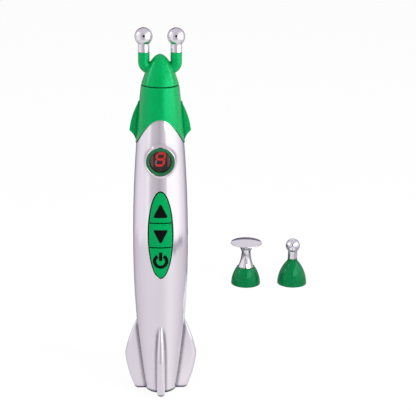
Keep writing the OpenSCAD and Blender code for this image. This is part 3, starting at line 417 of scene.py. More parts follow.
class Finishes:
    """All finishes of the pen, named for the real material and how its face was made."""

    # Vacuum-metallised ABS: an even bright mirror with a faint orange peel; painted shade in its inner
    # corners, with a warm painted reflection tint above the fins
    plated = Finish("vacuum_plated_abs_silver", "plated_case", ("#F5F2F5", "#EFEBF0"), (0.06, 0.1),
                    grain=1.2, cloud=26.0, relief=0.0002, metallic=1.0, corner="#2C2840",
                    corner_shade_mm=2.3, corner_shade_top=44.0, corner_high_shade="#A98F83")
    # Chromed brass, polished: sharper mirror than the plated case; painted shade in its inner corners
    chrome = Finish("polished_chrome_on_brass", "chrome_electrode", ("#F3F1F4", "#EAE8ED"),
                    (0.03, 0.06), grain=0.8, cloud=12.0, relief=0.0001, metallic=1.0,
                    corner="#77727F", corner_shade_mm=0.8)
    # Injection-moulded ABS in green, satin gloss from the tool; painted shade in its inner corners
    green = Finish("moulded_green_abs", "green_plastic", ("#009A4C", "#009247"), (0.2, 0.27),
                   grain=0.35, cloud=14.0, relief=0.002, specular=1.0, tint="#4CFFC0",
                   corner="#006A35", corner_shade_mm=1.2)
    # The same plastic with a finer texture on the keys; painted shade in their corners
    key = Finish("textured_green_abs_keys", "green_plastic", ("#009A50", "#008E4A"), (0.36, 0.46),
                 grain=0.28, cloud=6.0, specular=0.4, tint="#4CFFC0", corner="#00351A",
                 corner_shade_mm=0.7)
    # Polished green ABS of the loose heads: glossy, a little deeper
    base = Finish("polished_green_abs", "green_plastic", ("#02703A", "#056937"), (0.08, 0.13),
                  grain=0.5, cloud=12.0, relief=0.0004, tint="#7CFFD0")
    # Dark green ABS ring round the window
    ring = Finish("moulded_dark_green_abs", "dark_green_plastic", ("#14673A", "#105B33"),
                  (0.28, 0.36), grain=0.3, cloud=4.0, relief=0.002, specular=0.3)
    # Pad-printed epoxy ink: thick, satin, slightly uneven
    ink = Finish("pad_printed_black_ink", "black_ink", ("#050505", "#0A0B0A"), (0.45, 0.6),
                 grain=0.25, cloud=3.0, specular=0.08)
    # Smoke-tinted acrylic window
    lens = TintedGlass("smoke_tinted_acrylic", "smoked_window", ("#C9AFA8", "#BFA49D"),
                       (0.02, 0.04), grain=0.8, relief=0.0003, ior=1.49)
    # Light bars: red when lit, pale grey resin when off, whose faint glow is painted light
    lit = LitBar("lit_red_diffuser_resin", "red_light", ("#F2352F", "#E52B28"), (0.4, 0.5),
                 grain=0.2, cloud=1.0, relief=0.001, glow=0.9)
    unlit = LitBar("unlit_grey_resin_with_painted_glow", "grey_light", ("#C9B4B0", "#BDA7A4"), (0.4, 0.5),
                   grain=0.2, cloud=1.0, relief=0.001, glow=0.25)
    # Matt black epoxy face of the display
    epoxy = Finish("matt_black_display_epoxy", "black_plastic", ("#2B2527", "#221D1F"), (0.5, 0.65),
                   grain=0.2, cloud=3.0)
    # Glass-fibre board under solder mask
    board = Tracked("solder_mask_on_glass_fibre", "board_green", ("#14573A", "#104C32"), (0.3, 0.4),
                    cloud=6.0)
    # Moulded switch bodies and other black parts of nylon and PBT
    nylon = Finish("moulded_black_nylon", "black_plastic", ("#1D1E20", "#26272A"), (0.45, 0.6),
                   grain=0.25, cloud=3.0, relief=0.006)
    # Red and yellow soft PVC wire jackets and the red plungers
    red = Finish("extruded_red_plastic", "red_plastic", ("#B8231C", "#A81E18"), (0.38, 0.48),
                 grain=0.3, cloud=3.0, relief=0.003)
    yellow = Finish("extruded_yellow_pvc", "yellow_plastic", ("#D6BC3C", "#C9AE33"), (0.38, 0.48),
                    grain=0.3, cloud=3.0, relief=0.003)
    # Epoxy moulding compound of chips
    compound = Finish("chip_moulding_compound", "black_plastic", ("#18191B", "#1F2022"),
                      (0.5, 0.62), grain=0.12, cloud=1.5, relief=0.003)
    # Pressed ferrite core with a taped winding
    ferrite = Banded("ferrite_core_with_copper_winding", "ferrite", ("#3A332D", "#453C33"),
                     (0.45, 0.6), grain=0.3, cloud=2.0, relief=0.006, band="#A8672E", band_mm=0.5,
                     share=0.8)
    # Blue shrink sleeve of an electrolytic capacitor with a pale stripe
    sleeve = Banded("blue_pvc_shrink_sleeve", "blue_sleeve", ("#1E2F5C", "#1A2950"), (0.3, 0.4),
                    cloud=3.0, relief=0.002, band="#8E9BB8", band_mm=5.2, axis="X", share=0.93)
    # Printed foil jacket of a dry cell, graphite with a copper-toned shoulder
    jacket = Banded("printed_cell_jacket_foil", "cell_jacket", ("#3B4148", "#343A41"), (0.22, 0.3),
                    grain=0.5, cloud=8.0, relief=0.001, specular=0.6, band="#B98A4A",
                    band_mm=108.0, share=0.93)
    # Nickel-plated spring steel, drawn
    nickel = Finish("nickel_plated_steel", "nickel", ("#B9B7B2", "#A9A7A3"), (0.2, 0.32),
                    grain=0.3, cloud=3.0, relief=0.002, metallic=1.0)
    # Drawn brass, turned or stamped
    brass = Finish("turned_brass", "brass", ("#D3AE5C", "#C49E4D"), (0.18, 0.3),
                   grain=0.25, cloud=3.0, relief=0.002, metallic=1.0)


# Mesh tools


def chain(bm: Mesh, points: Sequence[Point3], closed: bool = True) -> tuple[list, list]:
    """Adds a line of vertices and edges.

    Args:
        bm: Mesh that takes them.
        points: Places of the vertices.
        closed: Whether the last one joins the first.

    Returns:
        The vertices and the edges.
    """
    verts = [bm.verts.new(p) for p in points]
    edges = [bm.edges.new(pair) for pair in zip(verts, verts[1:])]
    if closed:
        edges.append(bm.edges.new((verts[-1], verts[0])))
    return verts, edges


def tidy(bm: Mesh, reach: float = 1e-4) -> Mesh:
    """Welds doubles and turns all faces outwards.

    Args:
        bm: The mesh.
        reach: Distance under which vertices are welded.

    Returns:
        The same mesh.
    """
    bmesh.ops.remove_doubles(bm, verts=bm.verts, dist=reach)
    bmesh.ops.dissolve_degenerate(bm, edges=bm.edges, dist=1e-6)
    bmesh.ops.recalc_face_normals(bm, faces=bm.faces)
    return bm


def moved(bm: Mesh, x: float = 0.0, y: float = 0.0, z: float = 0.0) -> Mesh:
    """Moves a mesh and gives it back."""
    bmesh.ops.translate(bm, vec=(x, y, z), verts=bm.verts)
    return bm


def turned(bm: Mesh, angle: float, axis: str) -> Mesh:
    """Turns a mesh about an axis of the pen by an angle in radians and gives it back."""
    bmesh.ops.rotate(bm, matrix=Matrix.Rotation(angle, 3, axis), verts=bm.verts)
    return bm


def bevel(bm: Mesh, edges: list, width: float, segments: int = 2, clamp: bool = True) -> None:
    """Rounds edges of a mesh; clamp keeps neighbouring bevels from crossing."""
    bmesh.ops.bevel(bm, geom=edges, offset=width, affect="EDGES", segments=segments, profile=0.5,
                    material=-1, clamp_overlap=clamp)


def sliced(bm: Mesh, spot: Point3, way: Point3, reach: float = 1e-5, clear: bool = False) -> None:
    """Cuts edges along a plane; clear takes away what lies ahead of it."""
    bmesh.ops.bisect_plane(bm, geom=[*bm.verts, *bm.edges, *bm.faces], plane_co=spot,
                           plane_no=way, dist=reach, clear_outer=clear)


def filled(bm: Mesh) -> None:
    """Closes the open rims of a mesh with flat faces."""
    bmesh.ops.holes_fill(bm, edges=[e for e in bm.edges if e.is_boundary], sides=0)


def spun(profile: Sequence[Point2], steps: int, closed: bool = False) -> Mesh:
    """Turns a profile round the Z axis into a solid.

    Args:
        profile: Points as radius and height. An open one starts and ends on the axis.
        steps: Number of segments.
        closed: Whether the profile is a loop away from the axis.

    Returns:
        The mesh of the solid.
    """
    bm = bmesh.new()
    verts, edges = chain(bm, [(r, 0.0, z) for r, z in profile], closed)
    bmesh.ops.spin(bm, geom=verts + edges, cent=(0, 0, 0), axis=(0, 0, 1), dvec=(0, 0, 0),
                   angle=math.tau, steps=steps, use_merge=True, use_duplicate=False)
    return tidy(bm)


def rod(radius: float, low: float, high: float, steps: int = 40) -> Mesh:
    """Round rod on the Z axis."""
    return spun([(0.0, low), (radius, low), (radius, high), (0.0, high)], steps)


def lofted(rings: Sequence[Ring]) -> Mesh:
    """Bridges a row of rings with the same number of points into a closed solid.

    Args:
        rings: The rings, in order.

    Returns:
        The mesh of the solid.
    """
    bm = bmesh.new()
    loops = [chain(bm, ring)[1] for ring in rings]
    for low, high in zip(loops, loops[1:]):
        bmesh.ops.bridge_loops(bm, edges=low + high)
    for edges in (loops[0], loops[-1]):
        bmesh.ops.edgeloop_fill(bm, edges=edges)
    bmesh.ops.recalc_face_normals(bm, faces=bm.faces)
    return bm


def slab(outline: Sequence[Point2], thick: float) -> Mesh:
    """Extrudes an outline in the XZ plane from depth 0 towards +Y.

    Args:
        outline: Points as x and z.
        thick: Depth in millimetres.

    Returns:
        The mesh of the solid.
    """
    bm = bmesh.new()
    verts, _ = chain(bm, [(x, 0.0, z) for x, z in outline])
    face = bmesh.ops.contextual_create(bm, geom=verts)["faces"]
    new = bmesh.ops.extrude_face_region(bm, geom=face)["geom"]
    bmesh.ops.translate(bm, vec=(0, thick, 0),
                        verts=[g for g in new if isinstance(g, bmesh.types.BMVert)])
    bmesh.ops.recalc_face_normals(bm, faces=bm.faces)
    return bm


def block(low: Point3, high: Point3, edge: float = 0.0) -> Mesh:
    """Box between two corners, with its edges broken by a bevel.

    Args:
        low: Its lowest corner.
        high: Its highest corner.
        edge: Width of the bevel, or 0 for sharp edges.

    Returns:
        The mesh of the solid.
    """
    bm = bmesh.new()
    bmesh.ops.create_cube(bm, size=1.0)
    bmesh.ops.scale(bm, vec=[b - a for a, b in zip(low, high)], verts=bm.verts)
    moved(bm, *[(a + b) / 2 for a, b in zip(low, high)])
    if edge:
        bevel(bm, list(bm.edges), edge, clamp=False)
    return bm


def facing(bm: Mesh, side: Side, height: float, x: float = 0.0) -> Mesh:
    """Turns a solid's +Z out of the front or the rear and lifts it to a height.

    Args:
        bm: Mesh of the solid.
        side: Front or rear.
        height: Height of its axis.
        x: Place of its axis beside the pen's.

    Returns:
        The same mesh.
    """
    turn = Matrix.Rotation(math.radians(-90 * side.value), 4, "X")
    bmesh.ops.transform(bm, matrix=Matrix.Translation((x, 0, height)) @ turn, verts=bm.verts)
    return bm


def arc(centre: Point2, radius: float, start: float, end: float, steps: int) -> list[Point2]:
    """Points of an arc between two angles in degrees."""
    turns = [math.radians(start + (end - start) * i / steps) for i in range(steps + 1)]
    return [(centre[0] + radius * math.cos(t), centre[1] + radius * math.sin(t)) for t in turns]


def bow(a: Point2, b: Point2, swell: float, steps: int) -> list[Point2]:
    """Points of a shallow bow that swells to the right of the way.

    Args:
        a: Its start.
        b: Its end.
        swell: Height of its middle over the straight line.
        steps: Number of parts.

    Returns:
        The points from start to end.
    """
    dx, dy = b[0] - a[0], b[1] - a[1]
    length = math.hypot(dx, dy)
    nx, ny = dy / length, -dx / length
    points = []
    for i in range(steps + 1):
        t = i / steps
        lift = swell * 4 * t * (1 - t)
        points.append((a[0] + dx * t + nx * lift, a[1] + dy * t + ny * lift))
    return points


def ellipse(half_w: float, half_h: float, centre_z: float, steps: int) -> list[Point2]:
    """Points of an ellipse in the XZ plane."""
    turns = [math.tau * i / steps for i in range(steps)]
    return [(half_w * math.cos(t), centre_z + half_h * math.sin(t)) for t in turns]


def door_outline(grow: float, pitch: float) -> list[Point2]:
    """Outline of the battery door, with points along its straight sides.

    Args:
        grow: How much larger it is all round.
        pitch: Distance of the points.

    Returns:
        The outline's points.
    """
    radius = PEN.door_corner + grow
    x = PEN.door_half_w + grow - radius
    low, high = PEN.door_low - grow + radius, PEN.door_high + grow - radius
    points: list[Point2] = []
    for centre, start in (((x, low), -90), ((x, high), 0), ((-x, high), 90), ((-x, low), 180)):
        points += arc(centre, radius, start, start + 90, 6)
    dense: list[Point2] = []
    for a, b in zip(points, points[1:] + points[:1]):
        count = max(1, round(math.dist(a, b) / pitch))
        dense += [(a[0] + (b[0] - a[0]) * i / count, a[1] + (b[1] - a[1]) * i / count)
                  for i in range(count)]
    return dense


def ball_end(neck_r: float, ball_r: float, ball_h: float, cove: float = 0.35) -> list[Point2]:
    """Profile of a ball on its neck, with a small cove between them.

    Args:
        neck_r: Radius of the neck.
        ball_r: Radius of the ball.
        ball_h: Height of its centre.
        cove: Radius of the cove.

    Returns:
        Points from the neck's end to the ball's top.
    """
    meet = math.sqrt((ball_r + cove) ** 2 - (neck_r + cove) ** 2)
    start = math.degrees(math.atan2(-meet, neck_r + cove))
    line = arc((neck_r + cove, ball_h - meet), cove, 180, 180 + start, 5)
    return line + arc((0.0, ball_h), ball_r, start, 90, 48)[:-1] + [(0.0, ball_h + ball_r)]


def lipped_cutter(outline: Callable[[float], Sequence[Point2]], side: Side, lip: float,
                  floor: float) -> Mesh:
    """Solid that cuts an opening with a rounded lip into the bowed body.

    Args:
        outline: Gives the outline grown by a distance.
        side: Front or rear.
        lip: Radius of the rounded lip.
        floor: Distance of the floor from the axis plane.

    Returns:
        The cutter's mesh.
    """
    steps, outside = 5, 24.0
    rings = [[(x, side.value * floor, z) for x, z in outline(0.0)]]
    for i in range(steps + 1):
        turn = math.radians(90 * i / steps)
        grow, sunk = lip * (1 - math.cos(turn)), lip * (1 - math.sin(turn))
        rings.append([(x, side.value * (PEN.depth(x, z) - sunk), z) for x, z in outline(grow)])
    rings.append([(x, side.value * outside, z) for x, z in outline(lip * 1.05)])
    return lofted(rings)


def bent_plate(outline: Sequence[Point2], side: Side, proud: float, thick: float, edge: float,
               corner: float = 0.0, flat_back: Optional[float] = None) -> Mesh:
    """Plate that lies on the bowed body, with a rounded rim.

    Args:
        outline: Its outline, seen from its side.
        side: Front or rear.
        proud: How far its face stands over the body.
        thick: Its thickness.
        edge: Radius of its rim.
        corner: Radius on the outline's sharp corners.
        flat_back: Depth of a flat back from the axis plane, or None for a bent back.

    Returns:
        The plate's mesh.
    """
    bm = slab(outline, thick)
    if corner:
        posts = [e for e in bm.edges if abs(e.verts[0].co.y - e.verts[1].co.y) > thick / 2
                 and e.calc_face_angle(0.0) > math.radians(35)]
        bevel(bm, posts, corner, 4, False)
    rim = [e for e in bm.edges
           if all(v.co.y < 1e-6 for v in e.verts) and e.calc_face_angle(0.0) > 1]
    bevel(bm, rim, edge, 4)
    for axis, pitch in ((0, 0.6), (2, 2.5)):
        ends = [v.co[axis] for v in bm.verts]
        low, high = min(ends), max(ends)
        count = max(2, round((high - low) / pitch))
        way = Vector([float(axis == k) for k in range(3)])
        for i in range(1, count):
            sliced(bm, way * (low + (high - low) * i / count), way)
    for v in bm.verts:
        if flat_back is not None and v.co.y > thick - 1e-6:
            v.co.y = side.value * flat_back
        else:
            v.co.y = side.value * (PEN.depth(v.co.x, v.co.z, proud) - v.co.y)
    bmesh.ops.recalc_face_normals(bm, faces=bm.faces)
    return bm


def placed(name: str, data: bpy.types.ID) -> bpy.types.Object:
    """Puts an object with its data into the scene.

    Args:
        name: Name of the object.
        data: Its mesh, lamp or camera.

    Returns:
        The object.
    """
    thing = bpy.data.objects.new(name, data)
    bpy.context.scene.collection.objects.link(thing)
    return thing


def meshed(name: str, bm: Mesh) -> bpy.types.Object:
    """Puts a mesh into the scene as an object and uses the mesh up.

    Args:
        name: Name of the object.
        bm: The mesh.

    Returns:
        The object.
    """
    mesh = bpy.data.meshes.new(name)
    bm.to_mesh(mesh)
    bm.free()
    return placed(name, mesh)


class Piece:
    """A solid in millimetres, worked on with booleans and then dressed for the frame."""

    # Least agreement of a face with the exact normal that its corners may take
    same_way = 0.965

    def __init__(self, name: str, bm: Mesh) -> None:
        """Makes the object from a mesh, which is used up."""
        self.thing = meshed(name, bm)

    def settle(self) -> None:
        """Applies the object's modifiers to its mesh."""
        graph = bpy.context.evaluated_depsgraph_get()
        mesh = bpy.data.meshes.new_from_object(self.thing.evaluated_get(graph))
        old = self.thing.data
        self.thing.modifiers.clear()
        self.thing.data = mesh
        bpy.data.meshes.remove(old)

    def combine(self, tool: "Piece | Mesh", how: Cut) -> "Piece":
        """Combines the piece with a tool, which is used up.

        Args:
            tool: Another piece or a mesh.
            how: Whether it is joined, taken away or kept in common.

        Returns:
            The piece itself.
        """
        other = tool.thing if isinstance(tool, Piece) else meshed("tool", tool)
        step = self.thing.modifiers.new("combine", "BOOLEAN")
        step.operation = how.value
        step.solver = "EXACT"
        step.object = other
        self.settle()
        old = other.data
        bpy.data.objects.remove(other)
        bpy.data.meshes.remove(old)
        return self

    def join(self, tool: "Piece | Mesh") -> "Piece":
        """Adds a tool to the piece."""
        return self.combine(tool, Cut.JOIN)

    def take(self, tool: "Piece | Mesh") -> "Piece":
        """Cuts a tool out of the piece."""
        return self.combine(tool, Cut.TAKE)

    def rework(self, work: Callable[[Mesh], object]) -> None:
        """Runs mesh work on the piece.

        Args:
            work: What is done to its mesh.
        """
        bm = bmesh.new()
        bm.from_mesh(self.thing.data)
        work(bm)
        bm.to_mesh(self.thing.data)
        bm.free()

    def weld(self, reach: float = 1e-4) -> None:
        """Welds the doubles that booleans leave, which closes cracks without width."""
        self.rework(lambda bm: bmesh.ops.remove_doubles(bm, verts=bm.verts, dist=reach))

    def soften(self, width: float, angle: float, wanted: Callable[[Vector], bool]) -> None:
        """Bevels sharp edges.

        Args:
            width: Width of the bevel.
            angle: Least angle between the faces, in degrees.
            wanted: Test of an edge's middle.
        """
        def work(bm: Mesh) -> None:
            """Welds short edges on the way and bevels what is left.

            Args:
                bm: The piece's mesh.
            """
            def chosen() -> list:
                """Edges to bevel.

                Returns:
                    The sharp edges that are wanted.
                """
                return [e for e in bm.edges if len(e.link_faces) == 2
                        and e.calc_face_angle(0.0) > math.radians(angle)
                        and wanted((e.verts[0].co + e.verts[1].co) / 2)]
            near = list({v for e in chosen() for v in e.verts})
            bmesh.ops.remove_doubles(bm, verts=near, dist=width * 0.6)
            bevel(bm, chosen(), width)
        self.rework(work)

    def dress(self, finish: Finish, node: str, body: str = "pen", angle: float = 32.0,
              truth: Optional[Truth] = None) -> None:
        """Scales the piece to metres, shades it, gives it its finish and ties it to the frame.

        Args:
            finish: Its finish.
            node: CAD node that it stands for.
            body: CAD body that it rides on.
            angle: Edges sharper than this stay sharp, in degrees.
            truth: Gives the exact normal at a point of a known face, or None.
        """
        mesh = self.thing.data
        for poly in mesh.polygons:
            poly.use_smooth = True
        mesh.set_sharp_from_angle(angle=math.radians(angle))
        if truth:
            normals = [tuple(n.vector) for n in mesh.corner_normals]
            for poly in mesh.polygons:
                for corner in poly.loop_indices:
                    exact = truth(mesh.vertices[mesh.loops[corner].vertex_index].co)
                    if exact is not None and exact.dot(poly.normal) > self.same_way:
                        normals[corner] = tuple(exact)
            mesh.normals_split_custom_set(normals)
        mesh.transform(Matrix.Scale(MM, 4))
        mesh.materials.clear()
        mesh.materials.append(finish.build())
        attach(self.thing, body)
        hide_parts(node)
        LOG.info("%s: %d faces on %s", self.thing.name, len(mesh.polygons), body)


# The plated case


@dataclass
class TailFin:
    """One of the four fins round the pen's tail, with a hollow fillet on either side."""

    top_z: float = 42.0
    tip_r: float = 20.1
    tip_z: float = 21.5
    foot_r: float = 14.9
    foot_z: float = 0.8
    upper_swell: float = 0.75
    lower_swell: float = 0.8
    thick: float = 4.4
    fillet: float = 1.0
    least_fillet: float = 0.15
    foot_round: float = 1.5
    thin_top: float = 0.55
    sunk: float = 1.3
    run_out: float = 0.04
    foot_rows: int = 5
    rows: int = 44
    row_bias: float = 1.7

    def reach(self, z: float) -> float:
        """Distance of the fin's crest from the axis at height z.

        Args:
            z: The height.

        Returns:
            The distance in millimetres.
        """
        top, tip = (PEN.body_r(self.top_z), self.top_z), (self.tip_r, self.tip_z)
        a, b, swell = (self.foot_r, self.foot_z), tip, self.lower_swell
        if z >= self.tip_z:
            a, b, swell = tip, top, self.upper_swell
        t = (z - a[1]) / (b[1] - a[1])
        return a[0] + (b[0] - a[0]) * t + swell * 4 * t * (1 - t)

    def end_z(self) -> float:
        """Height at which the crest runs out in the body, found by halving.

        Returns:
            The height in millimetres.
        """
        low, high = self.tip_z, self.top_z + 6
        for _ in range(40):
            middle = (low + high) / 2
            if self.reach(middle) - PEN.body_r(middle) > self.run_out:
                low = middle
            else:
                high = middle
        return low

    def section(self, z: float, trim: float) -> Ring:
        """Outline of the fin across the pen.

        Args:
            z: Its height.
            trim: How much smaller it is all round.

        Returns:
            The ring of points.
        """
        up = min(max((z - self.tip_z) / (self.top_z - self.tip_z), 0.0), 1.0)
        thin = 1 - self.thin_top * up * up * (1.6 - 0.6 * up)
        body, half = PEN.body_r(z), self.thick / 2 * thin - trim
        centre = self.reach(z) - trim - half
        hollow = min(self.fillet, max(self.least_fillet, (centre + half - body) * 0.8))
        out, rise = body + hollow, half + hollow
        fx, fy = math.sqrt(out ** 2 - rise ** 2), rise
        flat = fx <= centre
        if not flat:
            fx = (out ** 2 - rise ** 2 + centre ** 2) / (2 * centre)
            fy = math.sqrt(max(out ** 2 - fx ** 2, 1e-6))
        last = -90.0 if flat else math.degrees(math.atan2(-fy, centre - fx))
        side: list[Point2] = [(fx * body / out - self.sunk, fy * body / out)]
        side += arc((fx, fy), hollow, math.degrees(math.atan2(-fy, -fx)), last, 9)
        side += [(fx + (centre - fx) * i / 4, half) if flat else side[-1] for i in range(1, 5)]
        start = 90.0 if flat else math.degrees(math.atan2(fy, fx - centre))
        side += arc((centre, 0.0), half, start, 0.0, 14)[1:]
        return [(x, y, z) for x, y in side + [(x, -y) for x, y in reversed(side[:-1])]]

    def solid(self, turn: float) -> Mesh:
        """The fin, turned to its place round the pen.

        Args:
            turn: Its direction from the axis in radians.

        Returns:
            The fin's mesh.
        """
        rings = []
        for i in range(self.foot_rows + 1):
            bend = math.radians(90 * i / self.foot_rows)
            rings.append(self.section(self.foot_round * (1 - math.cos(bend)),
                                      self.foot_round * (1 - math.sin(bend))))
        low, high = self.foot_round, self.end_z()
        for i in range(1, self.rows + 1):
            share = 1 - (1 - i / self.rows) ** self.row_bias
            rings.append(self.section(low + (high - low) * share, 0.0))
        rings.append([(x - 1.6, y * 0.7, z + 0.1) for x, y, z in rings[-1]])
        return tidy(turned(lofted(rings), turn, "Z"))


@dataclass
class WindowBoss:
    """Raised round seat of the window, which runs into the body with a soft foot."""

    face_r: float = 7.9
    foot_r: float = 9.1
    overlap: float = 0.02
    back_y: float = -9.0
    around: int = 160
    steps: int = 18

    def solid(self) -> Mesh:
        """The boss down to inside the wall.

        Returns:
            The boss's mesh.
        """
        rings: list[Ring] = []
        for row in range(self.steps + 2):
            u = min(row / self.steps, 1.0)
            fall = (1 + self.overlap) * (1 - u * u * (3 - 2 * u)) - self.overlap
            radius = self.face_r + (self.foot_r - self.face_r) * u
            ring: Ring = []
            for x, z in ellipse(radius, radius, PEN.window_z, self.around):
                ground = PEN.depth(x, z)
                face = -(ground + (PEN.window_face - ground) * fall)
                ring.append((x, self.back_y if row > self.steps else face, z))
            rings.append(ring)
        return tidy(lofted(rings))


@dataclass(frozen=True)
class ScrewPair:
    """Place of a pair of case screws and the sizes of their wells and posts."""

    x: float
    z: float
    rest: float
    front_post_r: float
    reach_x: float
    rear_post_r: float = 3.1

    def places(self) -> Iterator[float]:
        """Both places beside the axis."""
        return (sign * self.x for sign in SIGNS)


SCREWS = (ScrewPair(9.4, 112.0, 6.4, 2.3, 1.0), ScrewPair(5.5, 30.0, 5.0, 2.6, 0.0))


def arch_block(drop: float, half: float = 16.0, depth: float = 30.0, low: float = 60.0) -> Mesh:
    """Block under the pointed arch of the collar.

    Args:
        drop: How far it stays below the arch.
        half: Half of its width.
        depth: How far it reaches to the front and the rear.
        low: Height of its underside.

    Returns:
        The block's mesh.
    """
    count = 64
    line = [half - 2 * half * i / count for i in range(count + 1)]
    outline = [(half, low), *[(x, PEN.arch_z(x, drop)) for x in line], (-half, low)]
    return moved(slab(outline, 2 * depth), y=-depth)


@dataclass
class PlatedCase:
    """Front and rear half of the silver case, with fins, boss, openings and rebate."""

    segments: int = 224
    far: float = 20.0
    bore_r: float = 5.6
    groove_r: float = 7.1
    groove: Point2 = (168.55, 170.55)
    bore_low: float = 165.95
    hollow_top: float = 164.95
    rebate_deep: float = 0.75
    shaft_r: float = 5.25
    shaft_floor: float = 9.99
    seat_lip: tuple[Point2, ...] = ((7.5, 14.08), (7.58, 14.25), (7.75, 14.34))
    pad_lip: float = 0.42
    pad_floor: float = 6.0
    door_gap: float = 0.25
    door_ledge: float = 0.6
    door_seat: float = 1.3
    door_pitch: float = 1.2
    pilot_r: float = 0.95
    shank_r: float = 1.15
    well_r: float = 2.2

    def profile(self) -> list[Point2]:
        """Half section of the hollow body.

        Returns:
            Points from the axis under the floor to the axis above it.
        """
        foot, top, (low, high) = PEN.foot_round, PEN.shell_top, self.groove
        points: list[Point2] = [(0.0, 0.0), *arc((PEN.body_r(foot) - foot, foot), foot, -90, 0, 4)]
        points += PEN.line(foot, top, 0.0, 44)[1:]
        points += [(self.bore_r, top), (self.bore_r, high), (self.groove_r, high),
                   (self.groove_r, low), (self.bore_r, low), (self.bore_r, self.bore_low)]
        points += reversed(PEN.line(PEN.wall, self.hollow_top, PEN.wall, 20))
        return points + [(0.0, PEN.wall)]

    def whole(self, name: str) -> Piece:
        """The case before it is parted.

        Args:
            name: Name of the half that it is for.

        Returns:
            The closed case.
        """
        case = Piece(name, spun(self.profile(), self.segments))
        for i in range(4):
            fin = TailFin(fillet=0.8, foot_round=2.0) if i % 2 else TailFin(fillet=0.55)
            case.join(fin.solid(math.tau * i / 4))
        case.join(WindowBoss().solid())
        low, high, out = PEN.collar_low, PEN.shell_top + 1, 30.0
        ring = [(out, low), *PEN.line(low, high, self.rebate_deep, 20), (out, high)]
        rebate = Piece("rebate", spun(ring, self.segments, True)).take(arch_block(0.1))
        return case.take(rebate)

    def front_openings(self, case: Piece) -> None:
        """Window seat with its keyway, the button opening and the screws' pilot holes.

        Args:
            case: The front half.
        """
        floor, lip = self.shaft_floor, self.seat_lip
        seat = [(0.0, floor), (self.shaft_r, floor), (self.shaft_r, PEN.window_seat),
                (lip[0][0], PEN.window_seat), *lip, (lip[-1][0], self.far), (0.0, self.far)]
        case.take(facing(spun(seat, 128), Side.FRONT, PEN.window_z))
        case.take(block((-1.1, -15.0, PEN.window_z + 7.2), (1.1, -13.6, PEN.window_z + 8.0)))
        case.take(lipped_cutter(
            lambda g: ellipse(PEN.pad_half_w + g, PEN.pad_half_h + g, PEN.pad_z, 128),
            Side.FRONT, self.pad_lip, self.pad_floor))
        for screw in SCREWS:
            for x in screw.places():
                case.take(facing(rod(self.pilot_r, -1.0, 6.0, 32), Side.FRONT, screw.z, x))

    def rear_openings(self, case: Piece) -> None:
        """Seat and opening of the battery door, and the screw wells.

        Args:
            case: The rear half.
        """
        seat = Piece("door_seat", lipped_cutter(
            lambda g: door_outline(self.door_gap + g, self.door_pitch), Side.REAR, 0.2, 5.0))
        core = [(0.0, 30.0), *PEN.line(30.0, 120.0, self.door_seat, 60), (0.0, 120.0)]
        case.take(seat.take(spun(core, self.segments)))
        through = door_outline(-self.door_ledge, self.door_pitch)
        case.take(lofted([[(x, y, z) for x, z in through] for y in (6.0, 19.0)]))
        for screw in SCREWS:
            for x in screw.places():
                well = [(0.0, -1.0), (self.shank_r, -1.0), (self.shank_r, screw.rest),
                        (self.well_r, screw.rest), (self.well_r, self.far), (0.0, self.far)]
                case.take(facing(spun(well, 48), Side.REAR, screw.z, x))

    def posts(self, case: Piece, side: Side) -> None:
        """Joins the screw posts inside a half.

        Args:
            case: The half.
            side: Which half it is.
        """
        for screw in SCREWS:
            radius = screw.rear_post_r if side is Side.REAR else screw.front_post_r
            reach = PEN.depth(screw.x - screw.reach_x * radius, screw.z) - 0.9
            for x in screw.places():
                post = Piece("post", facing(rod(radius, 0.06, reach), side, screw.z, x))
                inside = [(0.0, 0.5), *PEN.line(0.5, 170.0, 0.6, 30), (0.0, 170.0)]
                case.join(post.combine(spun(inside, 96), Cut.KEEP))

    def half(self, side: Side) -> None:
        """Makes one half of the case.

        Args:
            side: Which half.
        """
        where = side.name.lower()
        case = self.whole(f"silver_{where}_half")

        def part(bm: Mesh) -> None:
            """Takes the other half away and closes the seam.

            Args:
                bm: The case's mesh.
            """
            sliced(bm, (0, 0, 0), (0, -side.value, 0), clear=True)
            filled(bm)
            tidy(bm, 2e-3)
        case.rework(part)
        self.posts(case, side)
        if side is Side.FRONT:
            self.front_openings(case)
        else:
            self.rear_openings(case)
        case.weld()
        case.dress(Finishes.plated, f"{where}_shell", angle=30.0, truth=PEN.truth())


